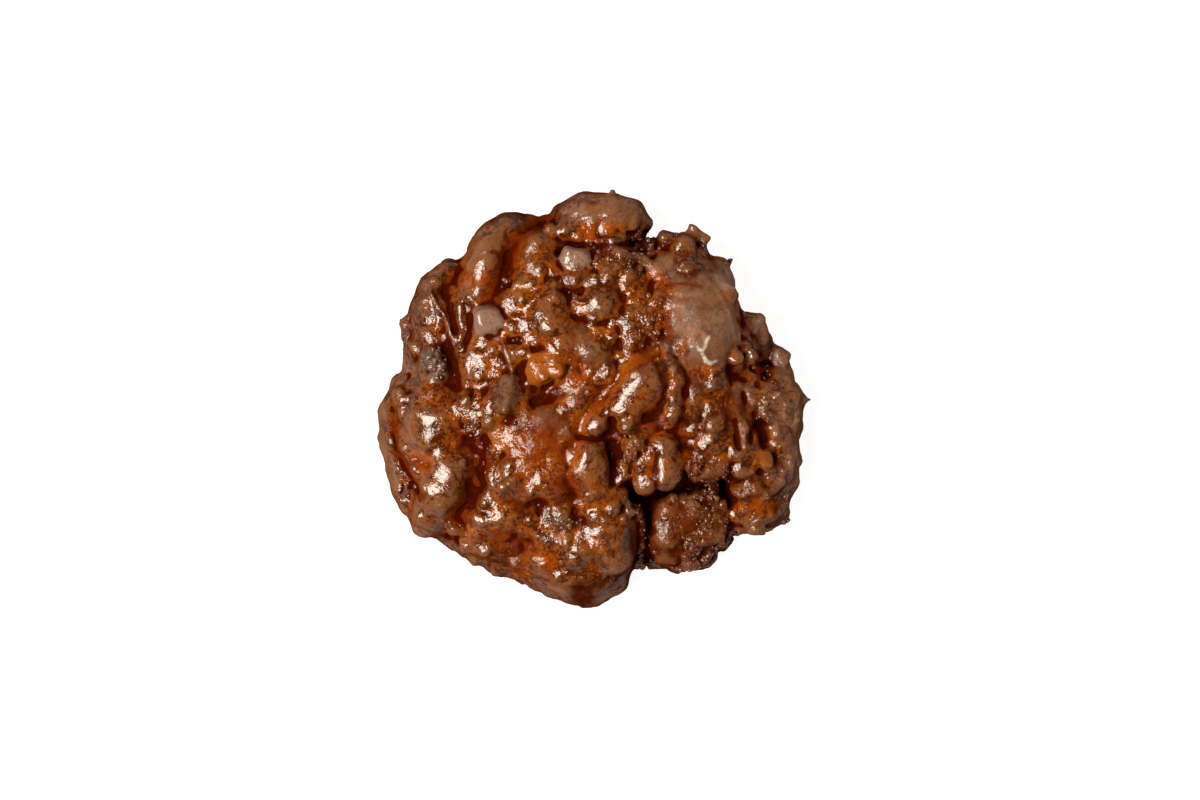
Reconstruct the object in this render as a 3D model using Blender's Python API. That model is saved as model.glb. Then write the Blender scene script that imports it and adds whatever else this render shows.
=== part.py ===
"""Apple fritter: one lumpy piece of fried, glazed dough with bits of fruit in it, lying on the table.

Blender 4.5, metres, +Z up. The origin is on the table under the middle of the fritter, +Y points
to the crown lobe and +X to the side with the thorn. Every size below is in millimetres.
"""

import itertools
import math

import bmesh
import bpy
import numpy as np

MM = 0.001

# Rules for every lobe of dough
LOBE_RISE = 1.25  # height of a lobe's upper half, as a share of its radius
RIM_RISE = 1.5  # the same for the lobes round the rim
LOBE_FOOT = 2.5  # a lobe's lower half is drawn down to this height above the table
LOBE_FULLNESS = 2.8  # exponent of the lower half's section: 2 is an ellipse, more is fuller
RIM_TUCK = 5.0  # how far the foot of a rim lobe goes in under the fritter
BEAD_STEP = 0.3  # distance between the balls of a lobe, as a share of their radius

VOXEL = 1.0  # grid that fuses the dough
SMOOTH_ROUNDS = 2
MOST_TRIANGLES = 11400

# Dents of the dough: size of one dent, its depth
DENTS = ((10.0, 1.1), (4.5, 0.7))
DENT_SEED = 7

# The thick of the dough: x, y, half length, half width, turn in degrees, lowest and highest level
BODIES = {
    "middle": (-3, 7, 47, 36, 0, -1.5, 27),
    "left": (-40, -8, 19, 25, 10, 1.0, 21),
    "lower_left": (-27, -32, 19, 15, -30, 1.0, 20),
    "bottom": (-4, -42, 14, 14, 0, 0.5, 20),
    "foot": (28, -37, 11, 10, 10, 0.5, 13),
    "right": (46, -12, 12, 23, 5, 1.0, 19),
    "top": (-2, 44, 17, 12, 0, 1.5, 20),
    "cheek": (29.5, 21.5, 12.5, 13.5, 15, 5, 33.5),
}
BODY_FULLNESS = 2.6  # exponent of the body's section

# Lobes round the rim, clockwise from the top. Each is a row of balls: x, y, height of the top, radius
RIM_LOBES = {
    "crown": (
        (-8, 52.3, 22, 4.9), (-2, 54, 26, 6), (5, 54.3, 27, 5.3), (10.5, 53.5, 25, 4.6),
        (13.5, 51.8, 21, 3.4),
    ),
    "amber_knob": ((21.5, 44.6, 23, 3.6), (25.5, 43.3, 24, 4.2), (29.5, 42, 22, 3.8)),
    "rim_bump": ((36.8, 39.4, 18, 2.9), (37.8, 35, 18, 2.6), (38.8, 30.5, 17, 2.2)),
    "cheek_flank": ((32, 33, 26, 6), (34.5, 27, 27.5, 7.2)),
    "bit_bank": ((45, 18, 13, 5), (51, 11, 14, 4.6)),
    "right_rim": (
        (52.5, 5.5, 20, 4.8), (54.8, 1, 22, 5), (54.3, -4.5, 22.5, 5.4), (53.2, -10, 22, 5.8),
        (54.2, -16.5, 21, 5.5), (53.5, -22, 20, 5.4), (52, -27, 18, 5), (51.8, -31, 17, 4.7),
    ),
    "heel_edge": ((43.5, -36, 10, 3.4), (49, -35.6, 11, 3.4), (53.5, -33.5, 13, 3)),
    "foot_edge": ((18, -45, 8, 4), (25, -46, 10, 4.2), (30.5, -45.5, 10.5, 4.2), (36, -40, 13, 4)),
    "bottom_toe": ((4.5, -51.8, 18.5, 5.6), (0, -54, 19.5, 5.8), (-7, -53.3, 19, 5.6), (-14, -51.5, 17, 5)),
    "skirt": (
        (-20.5, -49, 13, 4.8), (-26, -47, 13, 4.8), (-32.5, -44, 12, 4.6), (-38.5, -40.3, 11, 4.2),
        (-44, -37, 9, 4),
    ),
    "left_outer": (
        (-53.5, -30, 11, 3.2), (-54.4, -25, 12.5, 4.2), (-55.6, -18, 13.5, 4.8), (-57, -11, 14.5, 5),
        (-57, -4, 14.5, 5), (-54.5, 2.5, 15, 4.8),
    ),
    "left_waist": ((-50.5, 6.5, 19, 4.4), (-51.3, 12, 18, 3.8)),
    "left_knob": ((-52.8, 17.5, 15, 2.8), (-52.8, 21, 17, 3.1)),
    "shoulder": ((-47.6, 20.5, 21.5, 4.4), (-47.2, 26.5, 23.5, 5.1), (-45.6, 32.4, 22.5, 5), (-42, 36.6, 19, 4.1)),
    "arm": (
        (-33.5, 27.5, 27, 3.6), (-32.3, 32, 29, 5.2), (-31, 38, 29, 6.4), (-29, 44, 27.5, 6.6),
        (-24, 48, 24.5, 6), (-18.5, 49.6, 19, 4.2),
    ),
}

# Lobes inside the rim, in the same form
LOBES = {
    "crown_face": ((-7, 47.5, 23.5, 3.6), (-1, 47, 25, 3.8), (4, 47.5, 24.5, 3.5)),
    "crown_lip": ((0, 43.6, 27.5, 2.2), (6.5, 44.2, 27, 2.2)),
    "shred_bank": ((11, 45, 19, 3), (15.5, 43, 19, 2.8), (18.5, 41, 22, 3)),
    "amber_ball": ((42.5, 13.5, 25, 4.1),),
    "right_fold": ((42, -26, 23, 2.4), (46.5, -25.3, 24, 2.8), (51, -24.5, 22, 2.8)),
    "right_heel": ((45, -31, 21, 4.8), (49.5, -32, 19.5, 4.8)),
    "foot_left": ((21.5, -33, 22, 4.6), (20.8, -39, 20.5, 4.6), (21, -44, 17, 4.4)),
    "foot_right": ((28, -34, 21.5, 5), (34, -35.5, 19.5, 5)),
    "foot_middle": ((27.5, -40, 19, 4.6), (28, -45, 15.5, 4.4)),
    "foot_brow": ((23, -29.3, 20, 2), (29, -30, 20.5, 2.4), (34.5, -31, 19.5, 2.4), (38, -33.5, 17, 2.4)),
    "cleft_back": ((37.5, -27.5, 14, 3.6), (30, -26.5, 13, 3)),
    "cleft_floor": ((12, -44, 7, 4.4), (15.5, -42, 7, 5.5), (15, -34, 9, 5)),
    "bottom_ball": ((4, -38.5, 29, 7.6), (5, -44, 26.5, 7)),
    "bottom_middle": ((-4.5, -44, 27, 4.4), (-6, -49.5, 23.5, 4.4)),
    "bottom_left": ((-13, -40.5, 26, 5.2), (-14.5, -46, 23, 5.2)),
    "bottom_knot": ((-8.5, -35, 28.5, 3.4), (-12.3, -32.8, 28, 3)),
    "dark_lump": ((-34, -40.5, 19, 4),),
    "dark_pair": ((-27.5, -43, 19, 3.6), (-22.5, -44.5, 18, 3.6)),
    "amber_slope": ((-31, -33, 26.5, 4.8), (-25, -33, 28.5, 5.6), (-19, -35.5, 26.5, 4.6)),
    "diagonal": (
        (-31, -28.5, 29, 2.6), (-26.5, -25.2, 31.5, 3.3), (-20.5, -25.8, 31.5, 2.7),
        (-15, -23.3, 33, 3.4), (-10.5, -25.5, 31, 2.6),
    ),
    "finger": (
        (-37.5, -16, 27.5, 4.6), (-41, -20, 29.5, 6), (-43.5, -26.5, 29, 7), (-46.5, -32.5, 24, 5.8),
        (-48.8, -36.8, 17, 3.6),
    ),
    "left_middle": ((-53.2, 0, 20, 4), (-54, -7, 21, 4), (-53.3, -14, 20, 3.8), (-51, -19.5, 18, 3.2)),
    "left_cheek": ((-46, -1, 27.5, 5.4), (-46.5, -6.5, 28.5, 6.2), (-46.5, -11.5, 27.5, 5.2)),
    "left_arch": ((-52, 15, 17.5, 2.6), (-48.5, 17.3, 20.5, 2.4), (-44, 17, 22, 2.3), (-41.5, 14.5, 22, 2)),
    "charred_mound": ((-46, 12.5, 24.5, 3.8), (-44, 8.5, 26, 4.2)),
    "shoulder_shelf": ((-41, 29.5, 20, 2.8), (-40.6, 23, 21, 2.6)),
    "shoulder_gap": ((-38.7, 36.5, 15, 2.6), (-38.7, 30, 17, 2.6)),
    "arm_tail": ((-36, 31, 27.5, 3), (-37, 25, 26.5, 2.7), (-38, 19, 25, 2.5), (-38.6, 13, 22, 2.1)),
    # the upper half, left to right
    "hump": ((-16.3, 44.3, 30.5, 5), (-16.3, 38, 31.5, 5.2)),
    "hump_corner": ((-12, 48, 26, 3),),
    "rough_patch": ((-21.5, 32, 29.5, 3.6), (-16, 30.5, 30.5, 3.4), (-20, 27, 30, 3)),
    "brow": ((2, 38.5, 31, 4.4), (8, 38.8, 31.5, 4.8), (13.5, 38, 31, 4.2)),
    "upper_ledge": ((-11, 34.6, 31.5, 2.2), (-4, 34.8, 32.5, 2.4), (3, 34.2, 32.5, 2.4)),
    "dark_ball": ((1.5, 27.5, 35.5, 5.4),),
    "dark_ball_side": ((-4.5, 27.5, 33.5, 3.2),),
    "small_ball": ((7.6, 23.6, 33.5, 2.8),),
    "big_ball": ((-12.5, 21.7, 37.5, 6.6),),
    "hazy_lobe": ((-4.5, 17.5, 35.5, 5.6), (0.5, 11, 35, 6)),
    "apron": ((-7, 12, 33, 3.6), (-6, 5, 34, 3.4)),
    "spine": ((-20.6, 24, 31.5, 2.2), (-21, 18, 32, 2.4), (-20.5, 12.5, 32.5, 2.6)),
    "left_calf": ((-32.6, 14.5, 30.5, 4.8), (-33, 7, 30.5, 5)),
    "left_calf_side": ((-27.2, 13.5, 31, 3.8), (-27.6, 7.5, 31, 3.6)),
    "middle_rib": ((12.5, 31, 32, 3.8), (13, 24, 33.5, 4), (11, 17, 34, 3.4)),
    "rib_side": ((17, 28, 32, 3), (17.6, 21, 32.5, 3)),
    "cheek_top": ((24, 29, 32.5, 5), (29, 30.5, 31, 4.5)),
    "cheek_crest": ((26, 19, 35, 6), (32.5, 17, 34, 7)),
    "cheek_shelf": ((19, 37.3, 30, 3.6), (26, 38, 28, 4), (31.5, 37, 25.5, 4)),
    "leaf": ((21.4, 15, 33.5, 2.2), (23.8, 9.5, 34, 2.6), (26.5, 5, 32.5, 2.4)),
    "cheek_foot": ((29.6, 8.5, 32, 2.9), (30.5, 4, 31, 2.4)),
    "cheek_toe": ((34.5, 7, 30.5, 3.2), (35.5, 3, 29.5, 2.6)),
    # the lower half, left to right
    "left_brim": ((-48, 4.4, 23, 3), (-42, 3.4, 25.5, 3)),
    "gravel": ((-38.5, -2.5, 28.5, 3.4), (-34, -6, 31, 3.8), (-30.5, -2.5, 31.5, 3.2)),
    "glossy_ridge": ((-29.6, -16.5, 31, 3), (-28.6, -22, 31, 3.2)),
    "orange_band": ((-27, -10, 31, 2.8), (-22.5, -12.8, 32.5, 3.1), (-17, -11.6, 33.5, 2.7), (-12.5, -13.6, 34, 3.2)),
    "nuggets": ((-22, -4.5, 33.5, 3.2), (-19, -7.5, 33.5, 2.4)),
    "saddle": ((-13.5, -6.3, 35, 5), (-8.4, -8.5, 34.5, 3.4)),
    "centre": ((-7, -2, 34.5, 4), (-3, 3, 35, 4.2)),
    "glossy_ball": ((13.4, 4, 38.5, 7.2), (10, -1.2, 37, 5)),
    "channel_ball": ((4, -5.6, 35.5, 4.6),),
    "tongue": ((-1, -15.5, 35.5, 4.4), (-0.2, -22.5, 33.5, 4.8)),
    "tongue_side": ((-7.5, -27.5, 28.5, 3.6),),
    "speckled": ((11, -13.2, 32.3, 3.6),),
    "olive": ((8.6, -19.4, 29.5, 3.6),),
    "twin": ((19.5, -14, 33.5, 3.9), (20.2, -21, 32, 4.5)),
    "twin_side": ((14.6, -21.5, 31, 4),),
    "grey_nub": ((7.3, -27.2, 27.5, 3), (7.6, -31.8, 26.5, 3.2)),
    "amber_nub": ((1.5, -31.5, 28, 3.4),),
    "glossy_pair": ((22.8, 2.8, 32.5, 3.2), (22.6, -4.6, 32.5, 3.8)),
    "pair_side": ((28.4, 3, 31.5, 2.6), (28.6, -4.5, 31, 3)),
    "long_ridge": ((34, 1, 30, 3.6), (34.2, -6.5, 31.5, 4.4), (32, -13, 30.5, 4.2)),
    "wrinkled": ((29.5, -19.5, 28.5, 3.8), (35.5, -19, 28.5, 4.2)),
    "rib_a": ((39.8, 3, 27, 2.2), (41, -5, 28.5, 2.3), (42.3, -13, 27.5, 2.4), (41.5, -19, 25.5, 2.6)),
    "rib_b": ((45, 1.5, 25.5, 2), (45.8, -6, 26, 2), (46.6, -12, 25, 1.8)),
    "crumbly": ((49, -3, 25.5, 2.8),),
}

# Lumps low on the side, under each ball of the rim: share of its radius, lowest and highest top
WAIST_SHARE = 0.68
WAIST_TOPS = (9.0, 15.0)
WAIST_SEED = 3

# Bits of fruit: x, y, height of the top, length, width, height, turn and tilt in degrees
FRUIT_BITS = {
    "pale_cube": (-30.1, 23.2, 33, 6.6, 6.8, 7, 20, 8),
    "pale_wedge": (-5.3, 40.8, 31.5, 7.8, 5.2, 6, -18, 12),
    "amber_cube": (-13.4, 9.6, 36, 10, 8, 8, 12, -6),
    "charred_cube": (-45, 9.8, 27.5, 6.6, 9, 10, 16, 14),
    "charred_wedge": (-24.2, 2.2, 35, 6.4, 8.4, 8, -12, -16),
    "stick": (30.3, 47.6, 21.5, 6.6, 3, 3.4, -33, 0),
    "rim_cube": (46.3, 22.2, 21, 6.4, 6.2, 8, 10, 8),
    "rim_block": (47.6, 16.4, 20, 5.8, 5.8, 9, -8, -6),
    "rim_button": (54, 12.4, 18.5, 5.6, 5, 8, -25, 6),
    "speckled_bit": (11.4, -12.6, 33.2, 5.4, 4.4, 6, 8, 6),
    "long_amber": (48.4, -17.6, 25, 7.2, 4.2, 6, 14, 0),
    "grey_cap": (20.6, 46.6, 23.5, 4, 2.8, 6, -20, 0),
}
BIT_SQUARENESS = 4.5

# Crumbs fried on: x, y, spread, how many, height of their tops, their radius
CRUMB_FIELDS = {
    "pebbles": (-18, -18, 8, 26, 33, 2.6),
    "rough_patch": (-19, 30.5, 4.5, 10, 31, 1.9),
    "top_notch": (12.5, 44.5, 3.6, 12, 21, 1.4),
    "right_nook": (48.5, 5.5, 4.5, 16, 20, 1.5),
    "heel": (53.4, -31.5, 2.6, 7, 17, 1.3),
    "foot_tip": (32.5, -43, 4, 12, 15.5, 1.5),
    "left_nook": (-52.5, -26, 2.6, 8, 15, 1.3),
    "finger_side": (-35, -36.5, 3, 8, 21, 1.3),
    "gravel": (-36, -3, 5, 14, 31, 1.4),
    "middle": (-20.5, -4.5, 3, 8, 34, 1.3),
    "cleft": (33, -26, 4, 9, 22, 1.5),
}
CRUMB_SEED = 23

# The thorn of set glaze on the right rim, as balls that aren't drawn down: x, y, middle, radius
THORN = ((57, 1.8, 15, 2.6), (59.8, 0.7, 14.5, 1.5), (62.3, 0, 14, 0.8))

# Lumps on the underside: how far out each ring is, how many lumps it has, and their radius
UNDER_RINGS = ((0, 1, 15), (22, 6, 11), (38, 11, 9))
UNDER_MIDDLE = (0, 2)
UNDER_LOWEST = -1.2
UNDER_FLATNESS = 0.6
UNDER_SEED = 31


def smooth_noise(points, seed):
    """Gradient noise at each point, one bump a unit: blends the slopes hashed at eight cell corners."""
    cell = np.floor(points).astype(np.int64)
    inside = points - cell
    fade = inside**3 * (inside * (inside * 6 - 15) + 10)
    total = np.zeros(len(points))
    for corner in itertools.product((0, 1), repeat=3):
        at = cell + np.array(corner)
        mixed = at[:, 0] * 374761393 + at[:, 1] * 668265263 + at[:, 2] * 2147483647 + seed * 144665
        mixed = (mixed ^ (mixed >> 13)) * 1274126177
        slope = np.stack([((mixed >> shift) & 1023) / 511.5 - 1 for shift in (3, 14, 25)], axis=1)
        weight = np.prod(np.where(corner, fade, 1 - fade), axis=1)
        total += weight * ((inside - np.array(corner)) * slope).sum(axis=1)
    return total


def unit_ball(subdivisions):
    """Points and triangles of an icosphere of radius 1."""
    ball = bmesh.new()
    bmesh.ops.create_icosphere(ball, subdivisions=subdivisions, radius=1.0)
    points = np.array([vertex.co for vertex in ball.verts])
    faces = np.array([[vertex.index for vertex in face.verts] for face in ball.faces])
    ball.free()
    return points, faces


def row_of_balls(stations):
    """The stations with more between them, close enough together to fuse into a smooth sausage."""
    stations = np.array(stations, float)
    row = [stations[:1]]
    for start, end in itertools.pairwise(stations):
        gap = math.dist(start[:2], end[:2])
        steps = max(1, math.ceil(gap / (BEAD_STEP * min(start[3], end[3]))))
        row.append(start + (end - start) * np.arange(1, steps + 1)[:, None] / steps)
    return np.concatenate(row)


def fuller(points, power):
    """The ball's points pushed out so that its section down the middle is a superellipse."""
    flat = np.hypot(points[:, 0], points[:, 1])
    reach = (flat**power + np.abs(points[:, 2]) ** power) ** (-1 / power)
    return points * reach[:, None]


def squared(points, power):
    """The ball's points pushed out towards the corners of its cube, fully so for a high power."""
    return points * (np.abs(points) ** power).sum(axis=1, keepdims=True) ** (-1 / power)


def turned(points, turn, tilt=0.0):
    """Points tilted about x and y and then turned about z, in degrees."""
    c, s = math.cos(math.radians(tilt)), math.sin(math.radians(tilt))
    about_x = np.array([[1, 0, 0], [0, c, -s], [0, s, c]])
    about_y = np.array([[c, 0, s], [0, 1, 0], [-s, 0, c]])
    c, s = math.cos(math.radians(turn)), math.sin(math.radians(turn))
    about_z = np.array([[c, -s, 0], [s, c, 0], [0, 0, 1]])
    return points @ (about_z @ about_y @ about_x).T


class Dough:
    """Lumps that still overlap, gathered as arrays of points and triangles."""

    def __init__(self):
        self.points = []
        self.faces = []
        self.count = 0
        self.small = unit_ball(3)
        self.large = unit_ball(5)

    def add(self, points, faces):
        self.points.append(points)
        self.faces.append(faces + self.count)
        self.count += len(points)

    def add_balls(self, balls, foot=LOBE_FOOT, rise=LOBE_RISE, tuck=0.0):
        """One ball for each x, y, top and radius.

        The lower half is fuller than a ball's, is drawn down to the foot level, and goes in towards
        the middle of the fritter as the square of the depth.
        """
        points, faces = self.small
        lower = points[:, 2] < 0
        shape = np.where(lower[:, None], fuller(points, LOBE_FULLNESS), points)
        inward = np.where(lower, shape[:, 2] ** 2, 0.0)
        for x, y, top, radius in balls:
            middle = top - radius * rise
            height = np.where(lower, max(middle - foot, radius), radius * rise)
            away = max(math.hypot(x, y), radius)
            ball = np.stack(
                [
                    x + shape[:, 0] * radius - inward * tuck * x / away,
                    y + shape[:, 1] * radius - inward * tuck * y / away,
                    middle + shape[:, 2] * height,
                ],
                axis=1,
            )
            self.add(ball, faces)

    def add_body(self, x, y, half_length, half_width, turn, low, high):
        """A flattened ball between two levels, squarer in section than an ellipsoid."""
        points, faces = self.large
        size = np.array([half_length, half_width, (high - low) / 2])
        shape = turned(fuller(points, BODY_FULLNESS) * size, turn)
        self.add(shape + (x, y, (low + high) / 2), faces)

    def add_bit(self, x, y, top, length, width, height, turn, tilt):
        """A rounded block of fruit."""
        points, faces = self.large
        size = np.array([length, width, height]) / 2
        shape = turned(squared(points, BIT_SQUARENESS) * size, turn, tilt)
        self.add(shape + (x, y, top - height / 2), faces)

    def add_crumbs(self, draw, x, y, spread, count, top, radius):
        """A field of small balls, thinning out from its middle."""
        angle = draw.uniform(0, 2 * math.pi, count)
        away = spread * draw.uniform(0, 1, count) ** 0.7
        tops = top + draw.uniform(-1.5, 1.0, count)
        sizes = radius * draw.uniform(0.8, 1.4, count)
        self.add_balls(np.stack([x + away * np.cos(angle), y + away * np.sin(angle), tops, sizes], axis=1))

    def add_waist(self, draw, stations):
        """Smaller lumps under the balls of a rim lobe, inside its outline, so the side is lumpy too."""
        x, y, _, radius = np.array(stations, float).T
        away = np.hypot(x, y)
        share = WAIST_SHARE * draw.uniform(0.85, 1.1, len(x))
        out = 1 + radius * (1 - share) * 0.95 / away
        aside = draw.uniform(-0.4, 0.4, len(x)) * radius / away
        tops = draw.uniform(*WAIST_TOPS, len(x))
        places = np.stack([(x - y * aside) * out, (y + x * aside) * out, tops, radius * share], axis=1)
        self.add_balls(places, foot=math.inf)

    def add_underside(self, draw):
        """Rings of low lumps that the fritter lies on."""
        points, faces = self.large
        for distance, count, radius in UNDER_RINGS:
            for step in range(count):
                angle = 2 * math.pi * (step + draw.uniform(-0.2, 0.2)) / count
                size = radius * draw.uniform(0.85, 1.15)
                x = UNDER_MIDDLE[0] + distance * math.cos(angle)
                y = UNDER_MIDDLE[1] + distance * math.sin(angle)
                low = UNDER_LOWEST + (0 if distance == 0 else draw.uniform(0, 1.6))
                shape = points * size * (1, 1, UNDER_FLATNESS)
                self.add(shape + (x, y, low + size * UNDER_FLATNESS), faces)

    def dent(self):
        """Moves each point away from its lump's middle by the noise, so that no lobe stays a true ball."""
        for index, points in enumerate(self.points):
            outward = points - points.mean(axis=0)
            outward /= np.linalg.norm(outward, axis=1, keepdims=True)
            depth = sum(
                most * smooth_noise(points / size, DENT_SEED + order)
                for order, (size, most) in enumerate(DENTS)
            )
            self.points[index] = points + outward * depth[:, None]

    def mesh(self):
        mesh = bpy.data.meshes.new("raw_dough")
        mesh.from_pydata(np.concatenate(self.points), [], np.concatenate(self.faces))
        return mesh


def raw_dough():
    """All the lumps, still overlapping, in one mesh."""
    dough = Dough()
    for body in BODIES.values():
        dough.add_body(*body)
    draw = np.random.default_rng(WAIST_SEED)
    for stations in RIM_LOBES.values():
        dough.add_balls(row_of_balls(stations), rise=RIM_RISE, tuck=RIM_TUCK)
        dough.add_waist(draw, stations)
    for stations in LOBES.values():
        dough.add_balls(row_of_balls(stations))
    dough.dent()
    for bit in FRUIT_BITS.values():
        dough.add_bit(*bit)
    draw = np.random.default_rng(CRUMB_SEED)
    for field in CRUMB_FIELDS.values():
        dough.add_crumbs(draw, *field)
    x, y, middle, radius = row_of_balls(THORN).T
    dough.add_balls(np.stack([x, y, middle + radius * LOBE_RISE, radius], axis=1), foot=math.inf)
    dough.add_underside(np.random.default_rng(UNDER_SEED))
    return dough.mesh()


def fused(mesh):
    """The lumps as one closed skin: a voxel remesh, smoothed, with few enough triangles."""
    raw = bpy.data.objects.new("raw_dough", mesh)
    bpy.context.scene.collection.objects.link(raw)
    remesh = raw.modifiers.new("fuse", "REMESH")
    remesh.mode = "VOXEL"
    remesh.voxel_size = VOXEL
    soften = raw.modifiers.new("soften", "SMOOTH")
    soften.factor = 0.5
    soften.iterations = SMOOTH_ROUNDS
    triangles = raw.modifiers.new("triangles", "TRIANGULATE")
    triangles.quad_method = "BEAUTY"
    graph = bpy.context.evaluated_depsgraph_get()
    count = len(raw.evaluated_get(graph).data.polygons)
    thin_out = raw.modifiers.new("thin_out", "DECIMATE")
    thin_out.ratio = min(1.0, MOST_TRIANGLES / count)
    graph.update()
    skin = bpy.data.meshes.new_from_object(raw.evaluated_get(graph), depsgraph=graph)
    bpy.data.objects.remove(raw)
    bpy.data.meshes.remove(mesh)
    return skin


def shells(skin):
    """The separate shells of a bmesh, each as a list of faces."""
    unseen = set(skin.faces)
    while unseen:
        edge = [unseen.pop()]
        shell = []
        while edge:
            face = edge.pop()
            shell.append(face)
            near = {other for side in face.edges for other in side.link_faces} & unseen
            unseen -= near
            edge.extend(near)
        yield shell


def keep_largest(skin):
    """Drops loose scraps and fills sealed hollows, by removing every shell but the largest."""
    for shell in sorted(shells(skin), key=len)[:-1]:
        bmesh.ops.delete(skin, geom=shell, context="FACES")


def cut_flat(skin):
    """Cuts the underside off at the table, which leaves the flat faces that the fritter rests on."""
    everything = skin.verts[:] + skin.edges[:] + skin.faces[:]
    bmesh.ops.bisect_plane(
        skin, geom=everything, dist=1e-4, plane_co=(0, 0, 0), plane_no=(0, 0, -1), clear_outer=True
    )
    bmesh.ops.holes_fill(skin, edges=[edge for edge in skin.edges if edge.is_boundary])
    bmesh.ops.triangulate(skin, faces=[face for face in skin.faces if len(face.verts) > 3])


def centre(skin):
    """Moves the skin so that the origin is under the middle of its box."""
    places = np.array([vertex.co for vertex in skin.verts])
    middle = (places.min(axis=0) + places.max(axis=0)) / 2
    bmesh.ops.translate(skin, vec=(-middle[0], -middle[1], 0), verts=skin.verts)


def glazed_crust():
    """Dark brown fried dough under clear sugar glaze."""
    material = bpy.data.materials.new("glazed_crust")
    material.use_nodes = True
    shader = material.node_tree.nodes["Principled BSDF"]
    shader.inputs["Base Color"].default_value = (0.16, 0.035, 0.01, 1)
    shader.inputs["Roughness"].default_value = 0.35
    shader.inputs["Metallic"].default_value = 0.0
    shader.inputs["Coat Weight"].default_value = 0.8
    return material


def main():
    for obj in list(bpy.data.objects):
        bpy.data.objects.remove(obj)
    mesh = fused(raw_dough())
    skin = bmesh.new()
    skin.from_mesh(mesh)
    keep_largest(skin)
    cut_flat(skin)
    centre(skin)
    bmesh.ops.scale(skin, vec=(MM, MM, MM), verts=skin.verts)
    skin.to_mesh(mesh)
    skin.free()
    mesh.name = "fritter"
    mesh.materials.clear()
    mesh.materials.append(glazed_crust())
    mesh.shade_smooth()
    bpy.context.scene.collection.objects.link(bpy.data.objects.new("fritter", mesh))


main()
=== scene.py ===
"""The looks of the fruit fritter: its crust at full detail, its glaze and its crumbs, on a pale table.

Sizes and places are in millimetres, in the same frame as the solid: the table is z = 0 and the
crown lobe points to +Y. A finished mesh is turned into metres as it is made.
"""

import itertools
import math

import bpy
import numpy as np
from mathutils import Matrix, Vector


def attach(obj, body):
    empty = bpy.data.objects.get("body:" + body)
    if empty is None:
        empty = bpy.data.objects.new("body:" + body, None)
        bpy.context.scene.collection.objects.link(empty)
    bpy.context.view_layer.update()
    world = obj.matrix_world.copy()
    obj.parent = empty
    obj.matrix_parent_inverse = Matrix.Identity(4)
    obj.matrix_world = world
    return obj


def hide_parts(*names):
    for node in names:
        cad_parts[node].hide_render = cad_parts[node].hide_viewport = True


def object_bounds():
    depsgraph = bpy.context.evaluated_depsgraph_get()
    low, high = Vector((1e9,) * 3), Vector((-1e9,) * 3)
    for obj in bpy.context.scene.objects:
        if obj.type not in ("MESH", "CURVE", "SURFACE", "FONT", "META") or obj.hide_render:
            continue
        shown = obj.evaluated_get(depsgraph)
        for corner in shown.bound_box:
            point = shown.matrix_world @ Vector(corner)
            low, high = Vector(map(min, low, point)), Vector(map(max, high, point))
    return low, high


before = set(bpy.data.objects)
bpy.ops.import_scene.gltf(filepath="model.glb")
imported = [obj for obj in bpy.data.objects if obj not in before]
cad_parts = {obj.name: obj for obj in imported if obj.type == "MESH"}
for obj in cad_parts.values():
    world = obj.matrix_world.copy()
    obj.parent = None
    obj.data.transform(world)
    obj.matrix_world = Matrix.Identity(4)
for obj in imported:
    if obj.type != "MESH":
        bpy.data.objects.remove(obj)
SOLID_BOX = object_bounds()

MM = 0.001

# Camera and light, in metres. One pixel of the photograph is 0.2874 mm at the focus level
CAMERA_DISTANCE = 1.5
SENSOR_WIDTH = 36.0
FRAME_WIDTH = 0.3449  # of the view, at the focus level
FRAME_MIDDLE = (0.00187, -0.00014)
FOCUS_LEVEL = 0.015
TABLE_CORNERS = ((-3000, -3000, 0), (3000, -3000, 0), (3000, 3000, 0), (-3000, 3000, 0))
# The table is lit from below too: it shows nearly white, and throws less of that on what stands on it
TABLE_TONE = 0.15
TABLE_GLOW = {"seen": (0.93, 0.93, 0.93, 1.0), "round": (0.42, 0.361, 0.294, 1.0)}
ROOM_RADIANCE = {"level": 0.1, "overhead": 0.03}
ROOM_DIM_FROM = 0.32  # height of the direction, as a share, from which the room is as dim as overhead
KEY_PLACE = (-0.70, -0.14, 1.12)
KEY_SIZE = 0.92
KEY_RADIANCE = 17.0
KEY_TINT = (1.0, 0.96, 0.86)
PANEL_PLACE = (1.1, 1.0, 0.9)
PANEL_SIZE = 1.4
PANEL_RADIANCE = 2.9
PANEL_TINT = (1.0, 0.84, 0.68)

# The grid on which the fritter is worked out
STEP = 0.55
GRID_LOW = (-66.0, -64.0, -2.5)
GRID_HIGH = (66.0, 64.0, 41.5)
FAR = 6.0  # distance given to points that no lump is near
FLOOR_GAP = 0.02  # the underside stops this far above the table
DENT_BAND = 4.0  # dents and relief are worked out this near to the crust
RELIEF_BAND = 2.5
ROUGH_BLEND = 1.5  # how softly rough crust turns into smooth
SMOOTH_ROUNDS = 2
CRUST_TRIANGLES = 196_000

# How far apart two lumps still fuse: the glaze fills the crease between them
FUSE_BODY = 3.0
FUSE_LOBE = 1.3
FUSE_BIT = 0.9
FUSE_CRUMB = 0.6

# Glaze and dough fill a crease up to where this share of the cube round a point is solid
FILL_RADIUS = 4.2
FILL_SHARE = 0.508
FILL_FUSE = 2.0
# Clefts that stay open: half width, then the x, y points they run through
OPEN_CLEFTS = (
    (4.5, (13, -28), (22, -26.5), (38, -25.5)),
    (2.0, (15, -30), (15.8, -38), (15.2, -43), (14.6, -50)),
    (3.5, (14, 47), (18, 49)),
    (2.0, (48, 8), (51, 9)),
    (2.0, (6, -14), (7, -17)),
)

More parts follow.
